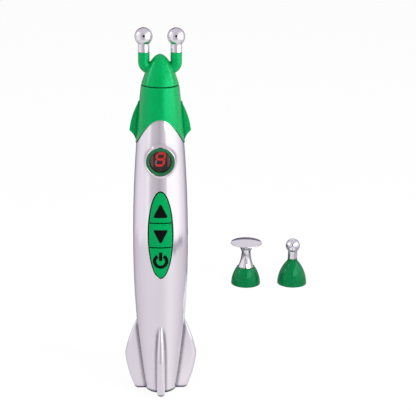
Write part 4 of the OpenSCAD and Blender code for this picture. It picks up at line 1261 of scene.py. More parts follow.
@dataclass
class BatteryDoor:
    """Door in the rear half, with its hook, tongues, grip ridges and thumb notch."""

    thick: float = 1.2
    hook_low: float = 43.25
    hook_half_w: float = 2.0
    hook_t: float = 0.8
    link_rise: float = 0.9
    link_h: float = 1.2
    tongue_half_w: float = 1.5
    tongue_drop: float = 1.55
    ridges: int = 5
    ridge_pitch: float = 1.5
    ridge_h: float = 0.6
    ridge_deep: float = 0.35
    ridge_half_w: float = 4.0
    ridge_drop: float = 13.0
    notch_r: float = 1.9
    notch_half_w: float = 3.5

    def build(self) -> None:
        """Makes the door."""
        door = Piece("battery_door_cover",
                     bent_plate(door_outline(0.0, 3.0), Side.REAR, 0.0, self.thick, 0.2))
        low, high, half = PEN.door_low + self.link_rise, PEN.door_high, self.hook_half_w
        back = math.sqrt((PEN.body_r(self.hook_low) - PEN.wall) ** 2 - half ** 2) - 0.15
        front, top = back - self.hook_t, low + self.link_h
        door.join(block((-half, front, self.hook_low), (half, back, top), 0.15))
        door.join(block((-half, front, low), (half, PEN.body_r(low) - 0.6, top), 0.1))
        y, z, half = PEN.body_r(high) - PEN.wall - 1.4, high - self.tongue_drop, self.tongue_half_w
        for sign in SIGNS:
            middle = sign * PEN.door_half_w / 2
            door.join(block((middle - half, y, z), (middle + half, y + 1.9, z + self.hook_t), 0.15))
        for i in range(self.ridges):
            z = high - self.ridge_drop + self.ridge_pitch * i
            door.take(block((-self.ridge_half_w, PEN.body_r(z) - self.ridge_deep, z),
                            (self.ridge_half_w, 20.0, z + self.ridge_h)))
        r, w = self.notch_r, self.notch_half_w
        notch = spun([(0.0, -w), (r - 0.3, -w), (r, 0.3 - w), (r, w - 0.3), (r - 0.3, w), (0.0, w)], 64)
        door.take(moved(turned(notch, math.pi / 2, "Y"), y=PEN.body_r(high) + 1.2, z=high - 3.4))
        door.dress(Finishes.plated, "battery_door", "door", 30.0, PEN.truth())


# Green mouldings of the pen


@dataclass
class NoseCollar:
    """Green collar with its arches and two swept fins."""

    proud: float = 0.35
    inset: float = 0.65
    top_z: float = 174.85
    top_round: float = 0.4
    bore_r: float = 7.1
    roof: float = 1.2
    fin_top_z: float = 166.6
    fin_tip: Point2 = (16.4, 150.4)
    fin_root_z: float = 145.0
    fin_thick: float = 2.4
    fin_round: float = 0.95
    fin_low_swell: float = -0.5
    fin_top_swell: float = 0.95
    fin_edge_x: float = 12.6
    lip: float = 0.14
    near: float = 0.05

    def swept_fin(self, turn: float) -> Mesh:
        """One side fin with rounded edges, turned to its side.

        Args:
            turn: Its direction from the axis in radians.

        Returns:
            The fin's mesh.
        """
        top = (PEN.body_r(self.fin_top_z), self.fin_top_z)
        root = (PEN.body_r(self.fin_root_z) + 0.2, self.fin_root_z)
        inner_top, inner_low = (top[0] - 0.2, top[1] + 1.4), (root[0] - 0.5, root[1] - 0.6)
        back = PEN.body_r(156) - 0.1
        outline = [(back, inner_low[1] + 2), inner_low,
                   *bow(root, self.fin_tip, self.fin_low_swell, 8),
                   *bow(self.fin_tip, top, self.fin_top_swell, 14)[1:],
                   inner_top, (back, inner_top[1] - 2)]
        bm = moved(slab(outline, self.fin_thick), y=-self.fin_thick / 2)
        rim = [e for e in bm.edges if abs(e.verts[0].co.y - e.verts[1].co.y) < 1e-6
               and all(v.co.x > self.fin_edge_x for v in e.verts)]
        bevel(bm, rim, self.fin_round, 5)
        return tidy(turned(bm, turn, "Z"))

    def on_arch(self, p: Vector) -> bool:
        """Whether a point lies on the arch's outer edge."""
        outside = math.hypot(p.x, p.y) > PEN.body_r(p.z) + self.proud - self.near
        return outside and abs(p.z - PEN.arch_z(p.x)) < self.near

    def build(self) -> None:
        """Makes the collar."""
        low, shoulder, roof = PEN.collar_low, self.top_z - self.top_round, self.top_z - self.roof
        profile = PEN.line(low, shoulder, -self.proud, 24)
        profile += arc((PEN.body_r(self.top_z) + self.proud - self.top_round, shoulder),
                       self.top_round, 0, 90, 4)[1:]
        profile += [(self.bore_r, self.top_z), (self.bore_r, roof)]
        profile += reversed(PEN.line(low, roof, self.inset, 20))
        collar = Piece("green_nose_collar", spun(profile, 192, True))
        for i in range(2):
            collar.join(self.swept_fin(math.pi * i))
        collar.take(arch_block(0.0))
        collar.soften(self.lip, 40.0, self.on_arch)
        collar.dress(Finishes.green, "nose_collar", angle=34.0, truth=PEN.truth(self.proud))


@dataclass
class TwinHead:
    """Green nose with two bent arms, and the chrome balls on them."""

    nose_h: float = 15.8
    nose_r: float = 10.0
    rim_h: float = 0.4
    arm_x: float = 8.5
    arm_r: float = 3.05
    elbow_r: float = 3.2
    elbow_h: float = 11.5
    neck_h: float = 16.8
    neck_r: float = 3.0
    neck_edge: float = 0.12
    ball_h: float = 25.0
    ball_r: float = 4.7
    strip_low: float = 8.25
    strip_top: float = 9.3
    strip_half: Point2 = (10.1, 1.25)
    bore_top: float = 13.7
    pin_r: float = 1.5
    play: float = 0.05
    grid: float = 0.2
    rim_near: float = 0.05
    rim_round: float = 0.16

    def arm(self, sign: int) -> Mesh:
        """One bent arm as a swept round tube, a little longer than it ends.

        Args:
            sign: Its side of the pen.

        Returns:
            The arm's mesh.
        """
        low = self.elbow_h - self.elbow_r
        path = [(0.0, low, 0.0), (2.6, low, 0.0)]
        for i in range(13):
            turn = math.radians(90 * i / 12)
            path.append((self.arm_x - self.elbow_r + self.elbow_r * math.sin(turn),
                         low + self.elbow_r * (1 - math.cos(turn)), turn))
        path += [(self.arm_x, self.elbow_h + 2, math.pi / 2),
                 (self.arm_x, self.neck_h + 1.5, math.pi / 2)]
        round_arm = ellipse(self.arm_r, self.arm_r, 0.0, 40)
        return lofted([[(sign * (x - math.sin(turn) * across), y, z + math.cos(turn) * across)
                        for across, y in round_arm] for x, z, turn in path])

    def trim(self, bm: Mesh) -> None:
        """Cuts the softened moulding flat at its rim and at the ends of its arms.

        Args:
            bm: The moulding's mesh.
        """
        for height, way in ((0.0, -1), (self.neck_h, 1)):
            sliced(bm, (0, 0, height), (0, 0, way), 1e-4, True)
            filled(bm)
        rim = [v for v in bm.verts if v.co.z < self.rim_near]
        bmesh.ops.remove_doubles(bm, verts=rim, dist=0.06)
        bmesh.ops.recalc_face_normals(bm, faces=bm.faces)

    def head(self) -> None:
        """Makes the green moulding, with soft valleys where the arms leave it."""
        rim, steps = self.nose_r * math.sqrt(1 - self.rim_h / self.nose_h), 28
        line: list[Point2] = [(0.0, -3.0), (rim, -3.0), (rim, self.rim_h)]
        for i in range(1, steps + 1):
            r = rim * (1 - i / steps)
            line.append((r, self.nose_h * (1 - (r / self.nose_r) ** 2)))
        head = Piece("green_twin_head", spun(line, 96))
        for sign in SIGNS:
            head.join(self.arm(sign))
        remesh = head.thing.modifiers.new("valleys", "REMESH")
        remesh.mode = "VOXEL"
        remesh.voxel_size = self.grid
        soft = head.thing.modifiers.new("soft", "SMOOTH")
        soft.factor = 0.5
        soft.iterations = 7
        head.settle()
        head.rework(self.trim)
        head.soften(self.rim_round, 50.0, lambda p: not (
            self.rim_near <= p.z <= self.neck_h - self.rim_near))
        head.take(spun([(0.0, -1.0), (PEN.socket_r, -1.0), (PEN.socket_r, PEN.socket_h),
                        (PEN.sleeve_r, PEN.socket_h), (PEN.sleeve_r, self.bore_top),
                        (0.0, self.bore_top)], 72))
        x, y = self.strip_half
        head.take(block((-x, -y, self.strip_low), (x, y, self.strip_top)))
        for sign in SIGNS:
            head.take(moved(rod(self.pin_r + self.play, self.strip_low, 20.0), sign * self.arm_x))
        head.thing.data.transform(Matrix.Translation((0, 0, PEN.seam_z)))
        head.dress(Finishes.green, "twin_head", "twin", 38.0)

    def electrode(self, sign: int) -> None:
        """Makes one chrome ball on its neck, with the pin inside the arm.

        Args:
            sign: Its side of the pen.
        """
        end, low = ball_end(self.neck_r, self.ball_r, self.ball_h), self.neck_h + self.neck_edge
        line = [(0.0, self.strip_top), (self.pin_r, self.strip_top), (self.pin_r, self.neck_h),
                (self.neck_r - self.neck_edge, self.neck_h), (self.neck_r, low)]
        line += [(self.neck_r, low + (end[0][1] - low) * i / 4) for i in range(1, 4)]
        side = "left" if sign < 0 else "right"
        bm = moved(spun(line + end, 96), sign * self.arm_x, 0.0, PEN.seam_z)
        Piece(f"chrome_ball_{side}", bm).dress(
            Finishes.chrome, f"twin_{side}_electrode", "twin", 40.0)

    def build(self) -> None:
        """Makes the head and both balls."""
        self.head()
        for sign in SIGNS:
            self.electrode(sign)


# Window and buttons


@dataclass
class RoundWindow:
    """Ring, lens and the digit behind it."""

    ring_r: float = 7.45
    hole_r: float = 5.85
    lens_seat_r: float = 6.5
    top: float = 14.53
    ring_round: float = 0.22
    crown_drop: float = 0.35
    lip: float = 0.85
    lens_r: float = 6.45
    lens_t: float = 1.15
    lens_crown: float = 0.14
    digit_z: float = 136.8
    digit_face: float = 9.997
    digit_h: float = 7.8
    digit_w: float = 5.4
    bar: float = 1.2
    bar_gap: float = 0.12
    bar_rise: float = 0.2
    slant: float = 9.0

    def ring(self) -> None:
        """Makes the dark ring with its softly crowned face."""
        crown, bend, seat = self.top - self.crown_drop, self.ring_round, PEN.window_seat
        line = [(self.ring_r, seat), (self.ring_r, crown - 0.1)]
        line += arc((self.ring_r - bend, crown), bend, 0, 75, 4)
        line += bow((self.ring_r - 0.25, crown + bend), (self.hole_r + 0.25, crown + bend), 0.13, 8)
        line += arc((self.hole_r + bend, crown), bend, 105, 180, 4)
        line += [(self.hole_r, self.top - self.lip), (self.lens_seat_r, self.top - self.lip),
                 (self.lens_seat_r, seat)]
        bm = facing(spun(line, 128, True), Side.FRONT, PEN.window_z)
        Piece("dark_green_window_ring", bm).dress(Finishes.ring, "window_ring")

    def lens(self) -> None:
        """Makes the smoked lens with a slight crown and a broken edge."""
        low, radius = PEN.window_seat + 0.05, self.lens_r
        rim = low + self.lens_t
        line = [(0.0, low), (radius - 0.1, low), (radius, low + 0.1), (radius, rim)]
        for i in range(1, 15):
            share = 1 - i / 14
            line.append((radius * share, rim + self.lens_crown * (1 - share ** 2)))
        bm = facing(spun(line, 96), Side.FRONT, PEN.window_z)
        Piece("smoked_window_lens", bm).dress(Finishes.lens, "window_lens", angle=40.0)

    def bar_outline(self, x: float, z: float, upright: bool) -> list[Point2]:
        """Outline of one light bar with pointed ends, leaning with the digit.

        Args:
            x: Its column, -1 to 1.
            z: Its row, -1 to 1.
            upright: Whether it stands.

        Returns:
            The outline round the digit's middle.
        """
        run_w, run_h = self.digit_w - self.bar, (self.digit_h - self.bar) / 2
        x, z, tip = x * run_w / 2, z * run_h, self.bar / 2
        half = (run_h if upright else run_w) / 2 - self.bar_gap
        flat = [(half, 0.0), (half - tip, tip), (-half + tip, tip), (-half, 0.0),
                (-half + tip, -tip), (half - tip, -tip)]
        lean = math.tan(math.radians(self.slant))
        points = [(x + (b if upright else a), z + (a if upright else b)) for a, b in flat]
        return [(px + pz * lean, pz) for px, pz in points]

    def bars(self, name: str, places: Sequence[tuple[float, float, bool]], finish: Finish,
             node: str) -> None:
        """Makes raised light bars of one kind.

        Args:
            name: Name of the piece.
            places: Column, row and stance of each bar.
            finish: Their finish.
            node: CAD node that they stand for.
        """
        together = bmesh.new()
        for place in places:
            bm = slab(self.bar_outline(*place), self.bar_rise)
            moved(bm, 0.0, -(self.digit_face + self.bar_rise), self.digit_z)
            front = [e for e in bm.edges
                     if all(v.co.y < -self.digit_face - self.bar_rise / 2 for v in e.verts)]
            bevel(bm, front, 0.06, clamp=False)
            mesh = bpy.data.meshes.new("bar")
            bm.to_mesh(mesh)
            bm.free()
            together.from_mesh(mesh)
            bpy.data.meshes.remove(mesh)
        Piece(name, together).dress(finish, node)

    def build(self) -> None:
        """Makes all pieces of the window, with the digit showing a nine."""
        self.ring()
        self.lens()
        lit = [(0, -1, False), (0, 0, False), (0, 1, False), (1, 0.5, True), (-1, 0.5, True),
               (1, -0.5, True)]
        self.bars("lit_digit_bars", lit, Finishes.lit, "lit_segments")
        self.bars("unlit_digit_bar", [(-1, -0.5, True)], Finishes.unlit, "dim_segment")


@dataclass
class ButtonColumn:
    """Three green buttons in one ellipse, each with its black mark."""

    gap: float = 0.52
    split: float = 0.5
    proud: float = 0.5
    upper_split: float = 102.7
    lower_split: float = 89.0
    cap_t: float = 2.6
    cap_round: float = 0.38
    cap_corner: float = 0.3
    cap_back: float = 9.5
    flange: float = 0.65
    flange_t: float = 0.8
    mark_size: float = 7.3
    mark_round: float = 0.7
    mark_rise: float = 0.04
    up_z: float = 109.4
    down_z: float = 95.35
    power_z: float = 81.3
    sign_size: float = 0.575
    sign_stroke: float = 1.85
    sign_gap: float = 1.6
    sign_bar: float = 0.9

    def clipped(self, low: float, high: float, grow: float) -> list[Point2]:
        """Part of the button ellipse between two heights.

        Args:
            low: Lower height.
            high: Upper height.
            grow: How much larger the ellipse is.

        Returns:
            The outline's points.
        """
        half_w, half_h, steps = PEN.pad_half_w + grow, PEN.pad_half_h + grow, 40
        a, b = (math.asin(min(1.0, max(-1.0, (z - PEN.pad_z) / half_h))) for z in (low, high))
        turns = [a + (b - a) * i / steps for i in range(steps + 1)]
        right = [(half_w * math.cos(t), PEN.pad_z + half_h * math.sin(t)) for t in turns]
        points = right + [(-x, z) for x, z in reversed(right)]
        return [p for i, p in enumerate(points) if math.dist(p, points[i - 1]) > 1e-4]

    def cap(self, name: str, low: float, high: float) -> None:
        """Makes one button: crowned cap with its flange behind the case.

        Args:
            name: Name of the button.
            low: Its lower end.
            high: Its upper end.
        """
        outline = self.clipped(low, high, -self.gap)
        cap = Piece(f"{name}_button_cap", bent_plate(
            outline, Side.FRONT, self.proud, self.cap_t, self.cap_round, self.cap_corner,
            self.cap_back))
        flange = slab(self.clipped(low, high, self.flange), self.flange_t)
        cap.join(moved(flange, y=-(self.cap_back + self.flange_t)))
        cap.dress(Finishes.key, f"{name}_button", f"{name}_key", 35.0, PEN.truth(self.proud))

    def triangle(self, height: float, flip: int) -> list[Point2]:
        """Triangle with rounded corners.

        Args:
            height: Height of its middle.
            flip: 1 where it points up, -1 where it points down.

        Returns:
            The outline's points.
        """
        def square(a: Point2, b: Point2) -> float:
            """Direction square to the way from a to b, in degrees."""
            return math.degrees(math.atan2(a[0] - b[0], b[1] - a[1]))
        reach = self.mark_size / 2 - self.mark_round
        spots = [(-reach, height - flip * reach), (reach, height - flip * reach),
                 (0.0, height + flip * reach)][::flip]
        points: list[Point2] = []
        for i, spot in enumerate(spots):
            start, end = square(spots[i - 1], spot), square(spot, spots[(i + 1) % 3])
            points += arc(spot, self.mark_round, start, start + (end - start) % 360, 6)
        return points

    def strip(self, path: Sequence[tuple[Point2, Point2]], half: float) -> Mesh:
        """Flat strip on the cap's face.

        Args:
            path: Points of its middle, each with the direction across it.
            half: Half of its width.

        Returns:
            The strip's mesh.
        """
        top, deep = self.mark_rise, 0.26
        section = [(-half, -deep), (-half, 0.0), (-half + top, top), (0.0, top),
                   (half - top, top), (half, 0.0), (half, -deep)]
        rings: list[Ring] = []
        for (x, z), (across_x, across_z) in path:
            line = [(x + across_x * w, z + across_z * w, h) for w, h in section]
            rings.append([(px, -PEN.depth(px, pz, self.proud + h), pz) for px, pz, h in line])
        return lofted(rings)

    def power_sign(self, name: str, height: float) -> Piece:
        """Open ring and bar of the power sign.

        Args:
            name: Name of the piece.
            height: Height of its middle.

        Returns:
            The piece.
        """
        outer = self.mark_size * self.sign_size
        middle = outer - self.sign_stroke / 2
        gap = math.degrees(math.asin(self.sign_gap / middle))
        ways = arc((0.0, 0.0), 1.0, 90 + gap, 450 - gap, 64)
        ring = [((middle * c, height + middle * s), (c, s)) for c, s in ways]
        low, high = height + 0.3, height + outer + 0.9
        bar = [((0.0, low + (high - low) * i / 8), (1.0, 0.0)) for i in range(9)]
        sign = Piece(name, self.strip(ring, self.sign_stroke / 2))
        return sign.join(self.strip(bar, self.sign_bar))

    def mark(self, name: str, height: float) -> None:
        """Makes the printed mark of one button.

        Args:
            name: Name of the button.
            height: Height of the mark's middle.
        """
        title, face = f"{name}_mark_print", self.proud + self.mark_rise
        if name == "power":
            mark = self.power_sign(title, height)
        else:
            outline = self.triangle(height, 1 if name == "up" else -1)
            mark = Piece(title, bent_plate(outline, Side.FRONT, face, 0.3, 0.03))
        mark.dress(Finishes.ink, f"{name}_mark", f"{name}_key", 35.0, PEN.truth(face))

    def build(self) -> None:
        """Makes the buttons and marks."""
        half = self.split / 2
        for name, low, high, height in (
                ("up", self.upper_split + half, 200.0, self.up_z),
                ("down", self.lower_split + half, self.upper_split - half, self.down_z),
                ("power", 0.0, self.lower_split - half, self.power_z)):
            self.cap(name, low, high)
            self.mark(name, height)


# Spare heads


@dataclass
class SpareHeads:
    """Disc head and ball head that stand beside the pen."""

    disc_x: float = 59.7
    ball_x: float = 92.0
    y: float = 163.0
    base_r: float = 10.1
    disc_base_h: float = 12.5
    waist_r: float = 3.1
    disc_r: float = 10.7
    disc_rim_h: float = 29.9
    ball_base_h: float = 18.3
    collar_h: float = 1.8
    neck_r: float = 3.2
    ball_r: float = 4.85
    ball_h: float = 27.5

    def piece(self, name: str, line: Sequence[Point2], head: str, finish: Finish,
              node: str) -> None:
        """Makes one turned piece at its place.

        Args:
            name: Name of the piece.
            line: Its half section, which is a loop where it has a hole.
            head: Disc or ball.
            finish: Its finish.
            node: CAD node that it stands for.
        """
        bm = spun(line, 128, line[0][0] > 0.0)
        moved(bm, self.disc_x if head == "disc" else self.ball_x, self.y)
        Piece(name, bm).dress(finish, node, f"spare_{head}", 40.0)

    def base(self, head: str, outside: list[Point2], top: float) -> None:
        """Makes the green base of a head round its socket.

        Args:
            head: Disc or ball.
            outside: Half section of its outside.
            top: Its height.
        """
        line = [(PEN.socket_r, 0.0), *outside, (PEN.sleeve_r, top), (PEN.sleeve_r, PEN.socket_h),
                (PEN.socket_r, PEN.socket_h)]
        self.piece(f"green_{head}_base", line, head, Finishes.base, f"{head}_head_base")

    def disc(self) -> None:
        """Makes the flared disc and its base."""
        h, rim_h, base_r, rim_r = self.disc_base_h, self.disc_rim_h, self.base_r, self.disc_r
        self.base("disc", [(base_r - 0.3, 0.0), (base_r - 0.08, 0.08),
                           *bow((base_r, 0.3), (6.15, h - 0.25), 0.85, 22), (6.0, h - 0.06),
                           (5.85, h)], h)
        stem = bow((5.4, h), (self.waist_r, h + 10), -0.45, 16)
        flare = bow((self.waist_r, h + 10.5), (rim_r, rim_h - 0.45), -1.9, 26)
        rim = arc((rim_r - 0.28, rim_h - 0.12), 0.3, -40, 75, 6)
        dome = bow((rim_r - 0.4, rim_h + 0.2), (0.0, rim_h + 2.0), 0.25, 20)
        line = [(0.0, 13.75), (PEN.sleeve_r, 13.75), (PEN.sleeve_r, h), *stem, *flare, *rim,
                *dome[:-1], (0.0, rim_h + 2.0)]
        self.piece("chrome_disc", line, "disc", Finishes.chrome, "disc_electrode")

    def ball(self) -> None:
        """Makes the ball on its neck and its base."""
        h, low, base_r, neck = self.ball_base_h, self.ball_base_h - self.collar_h, self.base_r, self.neck_r
        self.base("ball", [(base_r - 0.2, 0.0), (base_r + 0.02, 0.08),
                           *bow((base_r + 0.1, 0.3), (3.6, low), 1.5, 26), (3.4, low + 0.1),
                           (3.35, low + 0.3), (3.35, h - 0.12), (3.23, h)], h)
        end = ball_end(neck, self.ball_r, self.ball_h)
        line = [(0.0, 13.7), (2.4, 13.7), (2.4, h), (neck - 0.1, h), (neck, h + 0.1),
                (neck, (h + end[0][1]) / 2), *end]
        self.piece("chrome_ball_spare", line, "ball", Finishes.chrome, "ball_electrode")

    def build(self) -> None:
        """Makes both heads."""
        self.disc()
        self.ball()


# Inner pieces


@dataclass(frozen=True)
class Carried:
    """A CAD node whose own shape is right: a welded, edge-broken copy of it is dressed."""

    node: str
    finish: Finish
    edge: float = 0.0
    body: str = "pen"

    def build(self, nodes: dict[str, bpy.types.Object]) -> None:
        """Makes the dressed copy.

        Args:
            nodes: CAD objects by name.
        """
        bm = bmesh.new()
        bm.from_mesh(nodes[self.node].data)
        bmesh.ops.scale(bm, vec=(1 / MM,) * 3, verts=bm.verts)
        bmesh.ops.remove_doubles(bm, verts=bm.verts, dist=2e-3)
        bmesh.ops.dissolve_limit(bm, angle_limit=math.radians(0.5), verts=bm.verts, edges=bm.edges)
        if self.edge:
            sharp = [e for e in bm.edges if len(e.link_faces) == 2
                     and e.calc_face_angle(0.0) > math.radians(60)]
            bevel(bm, sharp, self.edge)
        Piece(f"{self.node}_dressed", bm).dress(self.finish, self.node, self.body, 35.0)


CARRIED = (
    Carried("head_seat", Finishes.nylon, 0.08),
    Carried("contact_stud", Finishes.brass, 0.08),
    Carried("display_module", Finishes.epoxy, 0.12),
    Carried("circuit_board", Finishes.board, 0.06),
    Carried("up_switch", Finishes.nylon, 0.12),
    Carried("down_switch", Finishes.nylon, 0.12),
    Carried("power_switch", Finishes.nylon, 0.12),
    Carried("up_plunger", Finishes.red, 0.12, "up_key"),
    Carried("down_plunger", Finishes.red, 0.12, "down_key"),
    Carried("power_plunger", Finishes.red, 0.12, "power_key"),
    Carried("microcontroller", Finishes.compound, 0.06),
    Carried("step_up_transformer", Finishes.ferrite, 0.1),
    Carried("storage_capacitor", Finishes.sleeve, 0.25),
    Carried("chip_resistors", Finishes.compound, 0.05),
    Carried("buzzer", Finishes.nylon, 0.15),
    Carried("battery_cell", Finishes.jacket, 0.12),
    Carried("battery_cradle", Finishes.nylon, 0.1),
    Carried("battery_spring", Finishes.nickel),
    Carried("battery_plate", Finishes.brass),
    Carried("case_screws", Finishes.nickel, 0.06),
    Carried("board_screws", Finishes.nickel, 0.06),
    Carried("positive_wire", Finishes.red),
    Carried("negative_wire", Finishes.nylon),
    Carried("electrode_lead", Finishes.yellow),
    Carried("return_contact", Finishes.brass, 0.05),
    Carried("twin_bridge", Finishes.brass, 0.06, "twin"),
    Carried("disc_head_sleeve", Finishes.brass, 0.06, "spare_disc"),
    Carried("ball_head_sleeve", Finishes.brass, 0.06, "spare_ball"),
)


# Studio


@dataclass(frozen=True)
class ToneWheel:
    """Grey tones by direction round the pen, 0 degrees being the camera's side."""

    stops: tuple[tuple[float, str], ...]

    def ramp(self, net: Net, x: Socket, y: Socket) -> Socket:
        """Adds the tone for a direction.

        Args:
            net: Node tree that takes it.
            x: The direction's X.
            y: The direction's Y.

        Returns:
            The tone.
        """
        angle = net.calc("ARCTAN2", x, net.calc("MULTIPLY", y, -1.0))
        ramp = net.add("ValToRGB", {0: net.remap(angle, -math.pi, math.pi)})
        wheel = ramp.color_ramp.elements
        while len(wheel) > 1:
            wheel.remove(wheel[-1])
        for i, (degrees, tone) in enumerate(self.stops):
            at = (degrees + 180) / 360
            if i:
                wheel.new(at)
            wheel[i].position = at
            wheel[i].color = linear(tone)
        return ramp.outputs[0]


FAR_TONES = ToneWheel((
    (-180, "#66616F"), (-162, "#77727F"), (-148, "#9B96A2"), (-132, "#C4BFC8"), (-112, "#DCD7DE"),
    (-86, "#E4E0E6"), (-70, "#E2DEE3"), (-56, "#ECE9ED"), (-48, "#DEDADF"), (-43, "#C8C3CA"),
    (-30, "#BEB9C0"), (-14, "#B7B2B8"), (-4, "#ACA7AE"), (7, "#BAB5BC"), (17, "#C8C4CA"),
    (25, "#D6D3D8"), (29, "#FBF8FB"), (60, "#FFFFFF"), (78, "#FBF8FB"), (97, "#EBE7EC"),
    (118, "#D6D1D8"), (134, "#B2ADB7"), (150, "#918C98"), (165, "#736E7B"), (180, "#66616F")))
NEAR_TONES = ToneWheel((
    (-180, "#787380"), (-165, "#89848F"), (-146, "#A29DA8"), (-130, "#BBB6BF"), (-114, "#C6C1C9"),
    (-90, "#CFCAD1"), (-68, "#D4CFD6"), (-30, "#D6D1D7"), (0, "#D4CFD5"), (14, "#D9D4DA"),
    (30, "#E2DEE3"), (45, "#E4E0E5"), (60, "#DFDBE0"), (80, "#D6D2D8"), (100, "#CCC7CE"),
    (118, "#C2BDC5"), (134, "#B3AEB7"), (150, "#A19CA7"), (165, "#8B8691"), (180, "#787380")))


class Measure(Enum):
    """What a band on the floor is measured by."""

    X = auto()
    Y = auto()
    AWAY = auto()
    SLANT = auto()


@dataclass(frozen=True)
class Band:
    """Strip of the floor between two limits in metres, with soft ends.

    A slanted band is measured in X from the line X = lean * Y + spot.
    """

    by: Measure
    low: float
    high: float
    soft: float
    lean: float = 0.0
    spot: float = 0.0

    def share(self, net: Net, values: dict[Measure, Socket]) -> Socket:
        """Adds a share of one inside the band and nothing outside.

        Args:
            net: Node tree that takes it.
            values: The floor's measures.

        Returns:
            The share.
        """
        if self.by is Measure.SLANT:
            line = net.calc("MULTIPLY_ADD", values[Measure.Y], self.lean, self.spot)
            value = net.calc("SUBTRACT", values[Measure.X], line)
        else:
            value = values[self.by]
        rise = net.remap(value, self.low - self.soft, self.low)
        drop = net.remap(value, self.high + self.soft, self.high)
        return net.calc("MULTIPLY", rise, drop)


# Tones that mirrors see on parts of the floor, each where all of its bands meet
PATCHES = (
    # Darker rim of the tent, right of the pen
    ("#A39DA5", Band(Measure.AWAY, 0.26, 0.277, 0.012), Band(Measure.X, 0.21, 0.32, 0.02),
     Band(Measure.Y, -0.2, 0.05, 0.02)),
    # Light card in front of the spare heads
    ("#E6E3E9", Band(Measure.X, 0.042, 0.11, 0.004), Band(Measure.Y, 0.066, 0.15, 0.004)),
    # Dark cards behind the spare heads
    ("#151418", Band(Measure.X, -0.02, 0.045, 0.004), Band(Measure.Y, 0.18, 0.27, 0.005)),
    ("#151418", Band(Measure.X, 0.1, 0.15, 0.004), Band(Measure.Y, 0.176, 0.26, 0.005),
     Band(Measure.SLANT, -0.2, 0.0, 0.004, 0.577)),
    # Dark slits between the cards, one toward each spare head
    *(("#0C0C0E", Band(Measure.Y, 0.07, 0.148, 0.002),
       Band(Measure.SLANT, -0.0015, 0.0015, 0.0004, lean, spot))
      for lean, spot in ((0.077, 0.04715), (0.1175, 0.07285))),
)


@dataclass(frozen=True)
class Lamp:
    """Soft area lamp in metres and watts, which mirrors show only where it says so."""

    name: str
    place: Point3
    size: Point2
    power: float
    mirrored: bool = False

    def build(self, aim: Point3 = (0.02, 0.0, 0.1)) -> None:
        """Makes the lamp and turns it to the pen.

        Args:
            aim: Point in metres that it looks at.
        """
        data = bpy.data.lights.new(self.name, "AREA")
        data.shape = "RECTANGLE"
        data.size, data.size_y = self.size
        data.energy = self.power
        thing = placed(self.name, data)
        thing.visible_glossy = self.mirrored
        spot = Vector(self.place)
        turn = (Vector(aim) - spot).to_track_quat("-Z", "Y").to_matrix().to_4x4()
        thing.matrix_world = Matrix.Translation(spot) @ turn


LAMPS = (
    Lamp("right_softbox", (0.75, -0.65, 0.5), (0.35, 0.6), 6.0),
    Lamp("left_softbox", (-0.8, -0.5, 0.5), (0.5, 0.7), 2.0),
    Lamp("top_softbox", (0.1, -0.1, 1.1), (0.8, 0.8), 4.0),
    Lamp("left_side_strip", (-0.9, 0.02, 0.62), (0.1, 0.5), 0.8, True),
    Lamp("right_side_strip", (1.05, 0.02, 0.62), (0.1, 0.5), 0.8, True),
)


